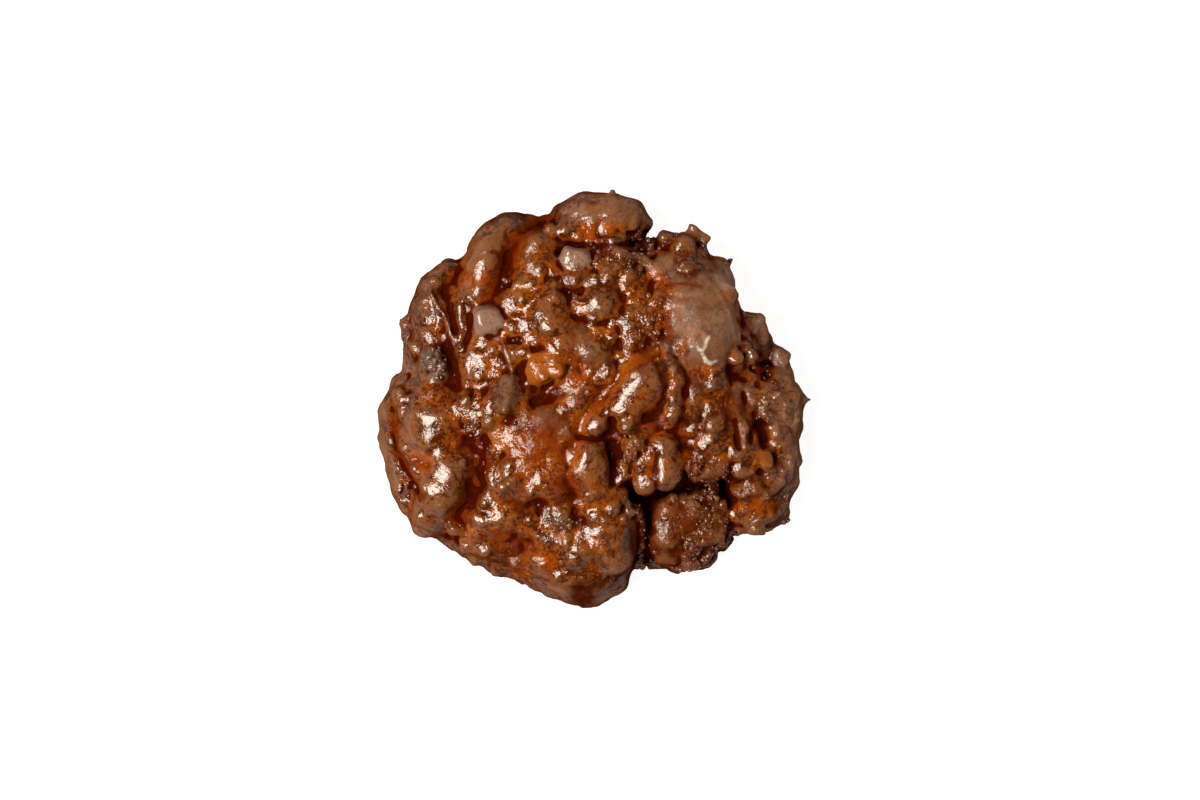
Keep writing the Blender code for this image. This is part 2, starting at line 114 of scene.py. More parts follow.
# Lumps that fill the valleys between lobes: how many are tried, their radii, how far round the highest
# place is looked for, how far below it a valley lies, and how much of that the lumps rise
INFILL_COUNT = 1500
INFILL_SIZES = (1.7, 3.8)
INFILL_REACH = 5.5
INFILL_DEPTH = 2.2
INFILL_RISE = (0.25, 0.7)
INFILL_LOWEST = 13.0
INFILL_EDGE = 3.0  # none lie nearer to the fritter's edge than this
# Chance that one is kept: where the crust is smooth, how much more where it is rough, and how much
# less where a cleft, a stroke, a patch or a bit of fruit is to stay clear
INFILL_CHANCE = {"smooth": 0.05, "rough": 2.0, "clear": 1.5}
INFILL_CLEAR = {"burnt": 1.0, "russet": 1.0, "orange": 0.5}
BIT_CLEARANCE = 0.35  # as a share of a bit's length and width together
INFILL_SEED = 19

# Lumps strewn over the crust, where it is rough: how many are tried, their radius and how far they rise
STREWN_COUNT = 1200
STREWN_SIZES = (0.8, 2.6)
STREWN_RISE = (0.45, 0.5)  # the least, and how much more at most, as shares of the radius
STREWN_CHANCE = 0.9  # that one is kept, where the crust is as rough as it gets
STREWN_SEED = 77

# Loose crumbs and sugar grains: how many, their radii, how flat they lie, rings between poles, turns
CRUMB_TOTAL = 500
CRUMB_RADII = (0.3, 0.9)
CRUMB_FLATNESS = 0.6
CRUMB_RINGS = (-0.5, 0.1, 0.65)
CRUMB_TURNS = 6
CRUMB_DRAW = 88
CRUMB_ROUGHEST = (0.35, 0.3)  # none where the crust is smoother than the first, most that much above it
CRUMB_LEVELNESS = 0.3  # none where the crust's normal rises less than this
CRUMB_SPREAD = (0.75, 1.25)  # how uneven a crumb is, as shares of its radius
CRUMB_LIFT = 0.3  # how far its middle stands off the crust, as a share of its half height

# Share of a cube round a point that is solid, by the cube's half width: creases have more, crests less
# They drive the painted shade in creases and valleys and the painted light on crests.
SHARES = {"fold": 1.5, "valley": 4.2, "depth": 9.0}
FINISH_BLEND = 1.8  # how softly one finish turns into the next

# Rules for every lobe of dough
LOBE_RISE = 0.9  # height of a lobe's upper half, as a share of its radius
RIM_RISE = 1.5  # the same for the lobes round the rim
LOBE_FOOT = 2.5  # a lobe's lower half is drawn down to this height above the table
LOBE_FULLNESS = 2.8  # exponent of the lower half's section: 2 is an ellipse, more is fuller
RIM_TUCK = 5.0  # how far the foot of a rim lobe goes in under the fritter

# Dents of the dough: size of one dent, its depth
DENTS = ((10.0, 1.1), (4.5, 0.45))
DENT_SEED = 7

# The thick of the dough: x, y, half length, half width, turn in degrees, lowest and highest level
BODIES = {
    "middle": (-3, 7, 47, 36, 0, -1.5, 30.5),
    "left": (-40, -8, 19, 25, 10, 1.0, 23.5),
    "lower_left": (-27, -32, 19, 15, -30, 1.0, 22),
    "bottom": (-4, -42, 14, 14, 0, 0.5, 22.5),
    "foot": (28, -37, 11, 10, 10, 0.5, 13),
    "right": (46, -12, 12, 23, 5, 1.0, 21.5),
    "top": (-2, 44, 17, 12, 0, 1.5, 20),
    "cheek": (29.5, 21.5, 12.5, 13.5, 15, 5, 31),
}
BODY_FULLNESS = 2.6  # exponent of the body's section

# Lobes round the rim, clockwise from the top. Each is a row of balls: x, y, height of the top, radius
RIM_LOBES = {
    "crown": (
        (-8, 52.3, 22, 4.9), (-2, 54, 26, 6), (5, 54.3, 27, 5.3), (10.5, 53.5, 25, 4.6),
        (13.5, 51.8, 21, 3.4),
    ),
    "amber_knob": ((21.5, 44.6, 23, 3.6), (25.5, 43.3, 24, 4.2), (29.5, 42, 22, 3.8)),
    "rim_bump": ((36.8, 39.4, 18, 2.9), (37.8, 35, 18, 2.6), (38.8, 30.5, 17, 2.2)),
    "cheek_flank": ((32, 33, 26, 6), (34.5, 27, 27.5, 7.2)),
    "bit_bank": ((45, 18, 13, 5), (51, 11, 14, 4.6)),
    "right_rim": (
        (52.5, 5.5, 20, 4.8), (54.8, 1, 22, 5), (54.3, -4.5, 22.5, 5.4), (53.2, -10, 22, 5.8),
        (54.2, -16.5, 21, 5.5), (53.5, -22, 20, 5.4), (52, -27, 18, 5), (51.8, -31, 17, 4.7),
    ),
    "heel_edge": ((43.5, -36, 10, 3.4), (49, -35.6, 11, 3.4), (53.5, -33.5, 13, 3)),
    "foot_edge": ((18, -45, 8, 4), (25, -46, 10, 4.2), (30.5, -45.5, 10.5, 4.2), (36, -40, 13, 4)),
    "bottom_toe": ((4.5, -51.8, 18.5, 5.6), (0, -54, 19.5, 5.8), (-7, -53.3, 19, 5.6), (-14, -51.5, 17, 5)),
    "skirt": (
        (-20.5, -49, 13, 4.8), (-26, -47, 13, 4.8), (-32.5, -44, 12, 4.6), (-38.5, -40.3, 11, 4.2),
        (-44, -37, 9, 4),
    ),
    "left_outer": (
        (-53.5, -30, 11, 3.2), (-54.4, -25, 12.5, 4.2), (-55.6, -18, 13.5, 4.8), (-57, -11, 14.5, 5),
        (-57, -4, 14.5, 5), (-54.5, 2.5, 15, 4.8),
    ),
    "left_waist": ((-50.5, 6.5, 19, 4.4), (-51.3, 12, 18, 3.8)),
    "left_knob": ((-52.8, 17.5, 15, 2.8), (-52.8, 21, 17, 3.1)),
    "shoulder": (
        (-47.6, 20.5, 21.5, 4.4), (-47.2, 26.5, 23.5, 5.1), (-45.6, 32.4, 22.5, 5), (-42, 36.6, 19, 4.1),
    ),
    "arm": (
        (-33.5, 27.5, 27, 3.6), (-32.3, 32, 29, 5.2), (-31, 38, 29, 6.4), (-29, 44, 27.5, 6.6),
        (-24, 48, 24.5, 6), (-18.5, 49.6, 19, 4.2),
    ),
}

# Lobes inside the rim, in the same form
LOBES = {
    "crown_face": ((-7, 47.5, 23.5, 3.6), (-1, 47, 25, 3.8), (4, 47.5, 24.5, 3.5)),
    "crown_lip": ((0, 43.6, 27.5, 2.2), (6.5, 44.2, 27, 2.2)),
    "shred_bank": ((11, 45, 19, 3), (15.5, 43, 19, 2.8), (18.5, 41, 22, 3)),
    "amber_ball": ((42.5, 13.5, 25, 4.1),),
    "right_fold": ((42, -26, 23, 2.4), (46.5, -25.3, 24, 2.8), (51, -24.5, 22, 2.8)),
    "right_heel": ((45, -31, 21, 4.8), (49.5, -32, 19.5, 4.8)),
    "foot_left": ((21.5, -33, 22, 4.6), (20.8, -39, 20.5, 4.6), (21, -44, 17, 4.4)),
    "foot_right": ((28, -34, 21.5, 5), (34, -35.5, 19.5, 5)),
    "foot_middle": ((27.5, -40, 19, 4.6), (28, -45, 15.5, 4.4)),
    "foot_brow": ((23, -29.3, 20, 2), (29, -30, 20.5, 2.4), (34.5, -31, 19.5, 2.4), (38, -33.5, 17, 2.4)),
    "cleft_back": ((37.5, -27.5, 14, 3.6), (30, -26.5, 13, 3)),
    "cleft_floor": ((12, -44, 7, 4.4), (15.5, -42, 7, 5.5), (15, -34, 9, 5)),
    "cleft_wall": (
        (11.6, -33, 23, 2.8), (12.8, -37.5, 18.5, 2.6), (12, -42.5, 17, 3), (12.4, -47, 12, 2.6),
    ),
    "cleft_step": ((17.2, -38.5, 14, 2.2), (17.4, -43, 11, 2.4)),
    "bottom_ball": ((4, -38.5, 29, 7.6), (5, -44, 26.5, 7)),
    "bottom_middle": ((-4.5, -44, 27, 4.4), (-6, -49.5, 23.5, 4.4)),
    "bottom_left": ((-13, -40.5, 26, 5.2), (-14.5, -46, 23, 5.2)),
    "bottom_knot": ((-8.5, -35, 28.5, 3.4), (-12.3, -32.8, 28, 3)),
    "dark_lump": ((-34, -40.5, 19, 4),),
    "dark_pair": ((-27.5, -43, 19, 3.6), (-22.5, -44.5, 18, 3.6)),
    "amber_slope": ((-31, -33, 26.5, 4.8), (-25, -33, 28.5, 5.6), (-19, -35.5, 26.5, 4.6)),
    "diagonal": (
        (-31, -28.5, 29, 2.6), (-26.5, -25.2, 31.5, 3.3), (-20.5, -25.8, 31.5, 2.7),
        (-15, -23.3, 33, 3.4), (-10.5, -25.5, 31, 2.6),
    ),
    "finger": (
        (-37.5, -16, 27.5, 4.6), (-41, -20, 29.5, 6), (-43.5, -26.5, 29, 7), (-46.5, -32.5, 24, 5.8),
        (-48.8, -36.8, 17, 3.6),
    ),
    "left_middle": ((-53.2, 0, 20, 4), (-54, -7, 21, 4), (-53.3, -14, 20, 3.8), (-51, -19.5, 18, 3.2)),
    "left_cheek": ((-45.5, -0.5, 29, 7.6), (-45, -6, 30, 9.4), (-45.8, -11.5, 28.4, 7.4)),
    "left_arch": ((-52, 15, 17.5, 2.6), (-48.5, 17.3, 20.5, 2.4), (-44, 17, 22, 2.3), (-41.5, 14.5, 22, 2)),
    "charred_mound": ((-46, 12.5, 24.5, 3.8), (-44, 8.5, 26, 4.2)),
    "shoulder_shelf": ((-41, 29.5, 20, 2.8), (-40.6, 23, 21, 2.6)),
    "shoulder_gap": ((-38.7, 36.5, 15, 2.6), (-38.7, 30, 17, 2.6)),
    "arm_tail": ((-36, 31, 27.5, 3), (-37, 25, 26.5, 2.7), (-38, 19, 25, 2.5), (-38.6, 13, 22, 2.1)),
    # the upper half, left to right
    "hump": ((-16.3, 44.3, 30.5, 5), (-16.3, 38, 31.5, 5.2)),
    "hump_corner": ((-12, 48, 26, 3),),
    "rough_patch": ((-21.5, 32, 29.5, 3.6), (-16, 30.5, 30.5, 3.4), (-20, 27, 30, 3)),
    "brow": ((2, 38, 29.5, 4.2), (8, 38.5, 30, 4.6), (13.5, 37.5, 30, 4)),
    "upper_ledge": ((-11, 34.6, 31.5, 2.2), (-4, 34.8, 32.5, 2.4), (3, 34.2, 32.5, 2.4)),
    "dark_ball": ((1.5, 27.5, 35.5, 5.4),),
    "dark_ball_side": ((-4.5, 27.5, 33.5, 3.2),),
    "small_ball": ((7.6, 23.6, 33.5, 2.8),),
    "big_ball": ((-12.8, 22.5, 37.3, 6.6), (-9.5, 18, 36.5, 6)),
    "hazy_lobe": ((-4.5, 17.5, 35.5, 5.6), (0.5, 11, 35, 6)),
    "apron": ((-7, 12, 33, 3.6), (-6, 5, 34, 3.4)),
    "spine": ((-20.6, 24, 31.5, 2.2), (-21, 18, 32, 2.4), (-20.5, 12.5, 32.5, 2.6)),
    "left_calf": ((-32.6, 14.5, 30.5, 4.8), (-33, 7, 30.5, 5)),
    "left_calf_side": ((-27.2, 13.5, 31, 3.8), (-27.6, 7.5, 31, 3.6)),
    "middle_rib": ((12.5, 31, 32, 3.8), (13, 24, 33.5, 4), (11, 17, 34, 3.4)),
    "rib_side": ((17, 28, 32, 3), (17.6, 21, 32.5, 3)),
    "cheek_top": ((25.5, 31, 31.5, 6), (33, 30.5, 30.5, 6.5)),
    "cheek_crest": ((29.3, 26.5, 33.4, 11), (30.3, 18, 34, 11.4)),
    "cheek_shelf": ((19, 37.3, 30, 3.6), (26, 38, 28, 4), (31.5, 37, 25.5, 4)),
    "leaf": ((21.2, 15, 33.5, 2.6), (23.4, 9.5, 34, 3.3), (26, 4.5, 32.5, 2.8)),
    "cheek_foot": ((29.6, 8.5, 32, 2.9), (30.5, 4, 31, 2.4)),
    "cheek_toe": ((34.5, 7, 30.5, 3.2), (35.5, 3, 29.5, 2.6)),
    # the lower half, left to right
    "left_brim": ((-49, 5, 22, 2.8), (-43, 5, 24.5, 2.8)),
    "gravel": ((-38.5, -2.5, 28.5, 3.4), (-34, -6, 31, 3.8), (-30.5, -2.5, 31.5, 3.2)),
    "glossy_ridge": ((-29.6, -16.5, 31, 3), (-28.6, -22, 31, 3.2)),
    "orange_band": (
        (-27, -10, 31, 2.8), (-22.5, -12.8, 32.5, 3.1), (-17, -11.6, 33.5, 2.7), (-12.5, -13.6, 34, 3.2),
    ),
    "nuggets": ((-22, -4.5, 33.5, 3.2), (-19, -7.5, 33.5, 2.4)),
    "saddle": ((-13.5, -6.3, 35, 5), (-8.4, -8.5, 34.5, 3.4)),
    "centre": ((-7, -2, 34.5, 4), (-3, 3, 35, 4.2)),
    "glossy_ball": ((14.2, 5.4, 38, 7.2), (10, 0.2, 36.8, 5.7)),
    "glossy_bump": ((6.6, -3, 35.4, 2.8),),
    "channel_ball": ((0.8, -7, 35.2, 4.6),),
    "tongue": ((-1.6, -14.5, 34.8, 5), (-1.2, -20, 34.2, 6.4), (0, -25.5, 32, 6)),
    "tongue_side": ((-7.5, -27.5, 28.5, 3.6),),
    "speckled": ((11, -13.2, 32.3, 3.6),),
    "olive": ((8.6, -19.4, 29.5, 3.6),),
    "twin": ((20, -13.5, 33.8, 4.2), (20.5, -21.5, 32.5, 4.8)),
    "twin_side": ((14.4, -17.5, 32, 3.4), (14.8, -23, 31, 4.2)),
    "grey_nub": ((7.3, -27.2, 27.5, 3), (7.6, -31.8, 26.5, 3.2)),
    "amber_nub": ((1.5, -31.5, 28, 3.4),),
    "glossy_pair": ((22.8, 2.8, 32.5, 3.2), (22.6, -4.6, 32.5, 3.8)),
    "pair_side": ((28.4, 3, 31.5, 2.6), (28.6, -4.5, 31, 3)),
    "long_ridge": ((34, 1, 30, 3.6), (34.2, -6.5, 31.5, 4.4), (32, -13, 30.5, 4.2)),
    "wrinkled": ((29.5, -19.5, 28.5, 3.8), (35.5, -19, 28.5, 4.2)),
    "rib_a": ((39.8, 3, 27, 2.2), (41, -5, 28.5, 2.3), (42.3, -13, 27.5, 2.4), (41.5, -19, 25.5, 2.6)),
    "rib_b": ((45, 1.5, 25.5, 2), (45.8, -6, 26, 2), (46.6, -12, 25, 1.8)),
    "crumbly": ((49, -3, 25.5, 2.8),),
}

# Lumps low on the side, under each ball of the rim: share of its radius, lowest and highest top
WAIST_SHARE = 0.68
WAIST_SIZES = (0.85, 1.1)  # of that share
WAIST_INSET = 0.95  # how far out it moves, as a share of what the ball of the rim is larger by
WAIST_ASIDE = 0.4  # how far to a side, as a share of the ball's radius
WAIST_TOPS = (9.0, 15.0)
WAIST_SEED = 3

# Bits of fruit: x, y, height of the top, length, width, height, turn and tilt in degrees,
# and for one of them its roll and its taper
FRUIT_BITS = {
    "pale_cube": (-30.1, 23.2, 34, 6.6, 6.8, 7, 20, 8),
    "pale_wedge": (-5.3, 40.8, 32, 7.8, 5.2, 6, -18, 12),
    "amber_cube": (-13.4, 9.6, 36, 10, 8, 8, 12, -6),
    "charred_cube": (-45, 9.8, 28.5, 6.6, 9, 10, 16, 14),
    "charred_wedge": (-24.4, 1.8, 35.5, 6.2, 10.5, 6.6, -6, 4, 43, 0.42),
    "stick": (30.3, 47.6, 21.5, 6.6, 3, 3.4, -33, 0),
    "rim_cube": (46.3, 22.2, 21, 6.4, 6.2, 8, 10, 8),
    "rim_block": (47.6, 16.4, 20, 5.8, 5.8, 9, -8, -6),
    "rim_button": (54, 12.4, 18.5, 5.6, 5, 8, -25, 6),
    "speckled_bit": (11.4, -12.6, 33.2, 5.4, 4.4, 6, 8, 6),
    "long_amber": (48.2, -17.2, 24.5, 6.6, 4.2, 5, 14, 8),
    "grey_cap": (20.6, 46.6, 23.5, 4, 2.8, 6, -20, 0),
}
BIT_SQUARENESS = 4.5  # exponent of a bit's section: 2 is an ellipsoid, more is squarer
CLEAN_BITS = ("pale_cube", "pale_wedge", "charred_wedge", "stick")  # these stand clear of the relief

# Crumbs fried on: x, y, spread, how many, height of their tops, their radius
CRUMB_FIELDS = {
    "pebbles": (-18, -18, 8, 17, 33, 3.0),
    "rough_patch": (-19, 30.5, 4.5, 10, 31, 1.9),
    "top_notch": (12.5, 44.5, 3.6, 12, 21, 1.4),
    "right_nook": (48.5, 5.5, 4.5, 16, 20, 1.5),
    "heel": (53.4, -31.5, 2.6, 7, 17, 1.3),
    "foot_tip": (32.5, -43, 4, 12, 15.5, 1.5),
    "left_nook": (-52.5, -26, 2.6, 8, 15, 1.3),
    "finger_side": (-35, -36.5, 3, 8, 21, 1.3),
    "gravel": (-35, -3, 4, 9, 31, 1.6),
    "middle": (-20.5, -4.5, 3, 8, 34, 1.3),
    "cleft": (33, -26, 4, 9, 22, 1.5),
}
CRUMB_SEED = 23
FIELD_THINNING = 0.7  # exponent: 0.5 would spread the crumbs of a field evenly
FIELD_SIZES = (0.7, 1.3)  # as shares of the field's radius for them
FIELD_TOPS = (-1.5, 1.0)

# The thorn of set glaze on the right rim, as balls that aren't drawn down: x, y, middle, radius
THORN = ((57, 1.8, 15, 2.6), (59.8, 0.7, 14.5, 1.5), (62.3, 0, 14, 0.8))

# Lumps on the underside: how far out each ring is, how many lumps it has, and their radius
UNDER_RINGS = ((0, 1, 15), (22, 6, 11), (38, 11, 9))
UNDER_MIDDLE = (0, 2)
UNDER_LOWEST = -1.2
UNDER_RISE = 1.6  # how much higher the lumps of a ring may be
UNDER_TURN = 0.2  # how far a lump of a ring strays, as a share of the gap to the next
UNDER_SIZES = (0.85, 1.15)
UNDER_FLATNESS = 0.6
UNDER_SEED = 31

# Every lump has a number, so that the crust knows which lump it covers at each place
LUMP_NAMES = ["bodies", *RIM_LOBES, *LOBES, *FRUIT_BITS, *CRUMB_FIELDS, "infill"]
NUMBER = {name: number for number, name in enumerate(LUMP_NAMES)}

# Which lumps each finish shows on, by how strongly, from 0 to 1
FINISHES = {
    "amber": {
        1.0: "amber_cube",
        0.65: "amber_ball",
        0.6: "speckled_bit long_amber",
        0.5: "amber_nub",
        0.45: "amber_knob amber_slope rough_patch",
        0.4: "speckled olive",
        0.35: "right_heel",
        0.25: "bottom_left foot_left",
        0.2: "pebbles foot_right bottom_middle",
        0.15: "skirt",
        0.12: "infill",
    },
    "charred": {
        0.9: "charred_cube",
        0.6: "top_notch",
        0.5: "shred_bank right_nook foot_tip left_nook bottom_knot grey_cap nuggets",
        0.45: "charred_wedge rim_cube cleft grey_nub",
        0.4: "dark_pair rim_block rim_button bit_bank cleft_back heel left_arch middle shoulder_gap",
        0.35: "charred_mound leaf foot_edge",
        0.25: "dark_lump bottom_toe",
        0.1: "gravel stick",
    },
    "pale": {
        1.0: "pale_cube",
        0.9: "pale_wedge",
        0.25: "grey_cap",
        0.2: "rim_cube rim_block",
    },
    "orange": {
        0.8: "crown_face",
        0.7: "orange_band",
        0.5: "tongue",
        0.4: "glossy_ball left_calf_side pebbles right_heel",
        0.35: "twin twin_side centre",
        0.3: "infill diagonal middle_rib hump left_calf apron left_middle glossy_bump bottom_left",
        0.25: "rib_side big_ball",
        0.2: "arm long_ridge",
        0.15: "glossy_pair left_cheek finger crown channel_ball dark_ball bottom_ball",
        0.1: "saddle",
    },
    # painted sheen on these lumps, partly a milky film of glaze
    "hazy": {
        0.9: "cheek_crest",
        0.8: "cheek_top foot_brow",
        0.7: "cheek_shelf cheek_flank right_rim left_outer",
        0.6: "rim_bump hazy_lobe foot_middle heel_edge rim_cube rim_block rim_button",
        0.55: "rib_a saddle",
        0.5: "cheek_foot cheek_toe leaf brow rib_b foot_edge bit_bank stick grey_nub",
        0.45: "crown bottom_ball",
        0.4: "dark_ball bottom_toe channel_ball wrinkled pair_side",
        0.35: "upper_ledge big_ball finger",
        0.3: "arm shoulder hump skirt left_knob left_waist long_ridge",
        0.2: "twin bodies glossy_ball",
    },
    # painted shade on these lumps
    "russet": {
        0.4: "wrinkled right_fold",
        0.3: "foot_left",
        0.1: "orange_band",
    },
    # painted shadow in clefts and nooks and painted shade on the foot, partly burnt sugar
    "burnt": {
        1.0: "cleft_floor",
        0.9: "cleft_back",
        0.7: "cleft",
        0.6: "top_notch right_nook shoulder_gap foot_tip",
        0.56: "foot_middle",
        0.5: "foot_edge cleft_step",
        0.44: "foot_left",
        0.42: "foot_right",
        0.3: "dark_pair dark_lump",
        0.2: "cleft_wall",
    },
    "milk": {},
    "tan": {},
    "satin": {
        1.0: "leaf",
        0.9: "cheek_flank",
        0.85: "cheek_top cheek_crest",
        0.8: "cheek_shelf rim_bump",
        0.65: "rib_a",
        0.6: "rim_cube rim_block rim_button left_outer foot_brow stick rib_b charred_wedge",
        0.5: "cheek_foot crown right_rim upper_ledge charred_cube",
        0.45: "amber_cube",
        0.4: "saddle hazy_lobe foot_right speckled speckled_bit cheek_toe pair_side shoulder_shelf",
        0.35: "arm orange_band centre apron brow",
        0.3: "bottom_ball",
        0.2: "pebbles diagonal infill",
        0.1: "finger",
    },
    "rough": {
        1.0: "rough_patch top_notch right_nook foot_tip cleft",
        0.9: "shred_bank heel left_nook finger_side crumbly speckled",
        0.85: "brow",
        0.8: "middle speckled_bit",
        0.7: "gravel nuggets wrinkled bottom_knot spine amber_knob foot_edge",
        0.6: "dark_pair foot_right charred_cube foot_middle",
        0.55: "rib_side",
        0.5: "dark_lump upper_ledge charred_mound left_brim cleft_wall cleft_step",
        0.45: "middle_rib",
        0.4: "amber_ball right_fold apron foot_brow",
        0.35: "pebbles right_rim foot_left crown_face",
        0.32: "bodies",
        0.3: "long_amber long_ridge rib_a rib_b cheek_toe left_middle",
        0.28: "infill",
        0.25: "amber_cube diagonal hazy_lobe pair_side centre skirt left_waist",
        0.2: "grey_cap amber_slope shoulder glossy_pair cheek_foot twin_side bottom_toe right_heel",
        0.18: "twin",
        0.15: "rim_button cheek_shelf left_outer left_calf pale_wedge hump leaf saddle bottom_middle",
        0.12: "rim_cube rim_block orange_band crown",
        0.1: "charred_wedge glossy_ball channel_ball tongue pale_cube dark_ball arm_tail bottom_left "
        "glossy_bump",
        0.08: "arm finger big_ball",
        0.06: "bottom_ball",
        0.05: "stick left_cheek",
        0.0: "cheek_top cheek_crest cheek_flank",
    },
}

# Strokes drawn on the crust from above: height raised (or cut, if negative), half width, a finish and
# how strongly it shows along the stroke, then the x, y points that the stroke runs through
# The dark strokes paint shade along creases and on the shaded sides of lobes. The white strokes paint
# highlights on ridges of glaze, partly set glaze as well. The orange strokes paint a glow in channels,
# partly the glaze's own colour.
STROKES = {
    "arm_crease": (
        -0.6, 2.2, "russet", 1.0, (-14, 52), (-20, 48), (-24, 44), (-25.5, 38), (-27, 32), (-28.5, 27.5),
    ),
    "arm_slope": (0, 2.5, "russet", 0.7, (-21, 45), (-27, 37), (-30, 30)),
    "hump_slope": (0, 1.6, "orange", 0.7, (-20, 46), (-22.5, 41), (-23, 36)),
    "shoulder_crease": (-0.8, 1.1, "burnt", 0.6, (-38, 38), (-40.5, 34), (-43.5, 31)),
    "shoulder_line": (1.2, 0.6, "milk", 0.52, (-47, 32), (-45.5, 28), (-42.5, 24), (-41, 19), (-40, 16)),
    "shoulder_dark": (-0.6, 1.5, "burnt", 0.8, (-43, 31), (-41, 26), (-39.5, 20)),
    "arm_tail_line": (0.5, 0.6, "milk", 0.15, (-37.5, 27), (-38.2, 22), (-38.2, 15)),
    "arm_tail_shade": (-0.7, 1.2, "burnt", 0.8, (-35.5, 24), (-35.8, 18), (-37, 14)),
    "calf_line": (1.2, 0.6, "milk", 0.5, (-25.8, 17), (-25.2, 14), (-24, 11), (-23, 8)),
    "mound_cleft": (-1.8, 2.2, "burnt", 1.0, (-42, 15), (-40.5, 10), (-40, 5)),
    "skirt_fold": (-1.2, 1.3, "russet", 0.7, (-58, -3), (-57, -14), (-53, -22), (-49.5, -28)),
    "finger_groove": (-0.8, 2.4, "russet", 1.0, (-30, -17), (-32.5, -21), (-34.5, -27), (-39, -34)),
    "channel": (-0.8, 2.2, "orange", 1.0, (18, 14), (9, 9), (2, 1), (-4, -7), (-5, -14)),
    "channel_foot": (-0.8, 1.5, "orange", 0.9, (-5, -14), (-5.5, -19)),
    "ball_gap": (-1.4, 1.2, "burnt", 0.8, (-4, -11), (1.5, -11.6), (5.5, -9), (5.2, -5.5)),
    "cheek_slit": (-0.4, 0.7, "russet", 0.7, (21, 33), (26, 33.6), (31, 32.6)),
    "cheek_slit_low": (-0.3, 0.5, "russet", 0.5, (22, 30), (25, 29), (28, 29.4)),
    "slit_a": (-1.2, 1.0, "burnt", 0.9, (40.5, -6), (41, -10), (41.5, -14)),
    "slit_b": (-1.2, 1.0, "burnt", 0.7, (46, -4), (46, -8), (45, -12)),
    "cheek_edge": (0.5, 0.5, "milk", 0.4, (24, 38.5), (31, 36.5), (36, 31), (39.5, 24), (41, 17)),
    "cheek_back": (-0.8, 1.2, "burnt", 0.6, (22, 14), (26, 8), (27, 2)),
    "knob_hoop": (0.45, 0.4, "milk", 0.5, (41.5, 21), (42, 16.5), (44, 14.5), (46, 14)),
    "flake_stem": (0.28, 0.75, "milk", 0.8, (32.8, 18), (31.8, 15.5), (30.8, 13.6), (31.8, 11.6)),
    "flake_arm": (0.25, 0.75, "milk", 0.8, (31.8, 11.2), (33.4, 10.4), (35.2, 11.2)),
    "flake_arm_left": (0.22, 0.7, "milk", 0.8, (30.8, 13.6), (29.6, 15)),
    "crown_rim_line": (0.4, 0.45, "milk", 0.5, (-8, 49), (-4, 52), (2, 53.5), (8, 51.5)),
    "crown_under": (-0.8, 1.2, "burnt", 0.8, (-6, 44.5), (2, 44.6), (10, 45), (15, 47.5)),
    "heel_ring": (0.6, 0.5, "milk", 0.3, (42, -29), (43, -27.5), (45.5, -27), (48, -27)),
    "hollow": (-2.6, 2.2, "russet", 0.9, (47.6, -7.5), (48.6, -11.5)),
    "pocket": (-1.6, 1.9, "orange", 0.9, (-50.5, -16.8), (-47.5, -19)),
    "ball_shade": (-0.5, 1.6, "burnt", 0.7, (18, 10), (20.5, 4), (19, -3), (13, -7)),
    "pair_shade": (-0.5, 1.3, "burnt", 0.7, (25.5, 3), (25.6, -4), (23, -9)),
    "tongue_shade": (-0.6, 1.4, "burnt", 0.8, (4.5, -11), (5.5, -18), (5, -25)),
    "twin_shade": (-0.7, 1.2, "burnt", 0.8, (18.4, -15), (17.6, -20), (18, -26)),
    "big_ball_shade": (-0.4, 1.4, "burnt", 0.5, (-5, 26), (-4.5, 20), (-6, 15)),
    "dark_ball_shade": (-0.4, 1.3, "burnt", 0.7, (-6, 24), (1, 21.5), (8, 24), (9, 30)),
}
STROKE_LOWEST = 9.0  # strokes and patches touch only the crust above this level
STROKE_FADE = 2.0  # and reach their full strength this much higher
PAINT_SPREAD = 1.1  # a stroke's colour is this much wider than its relief

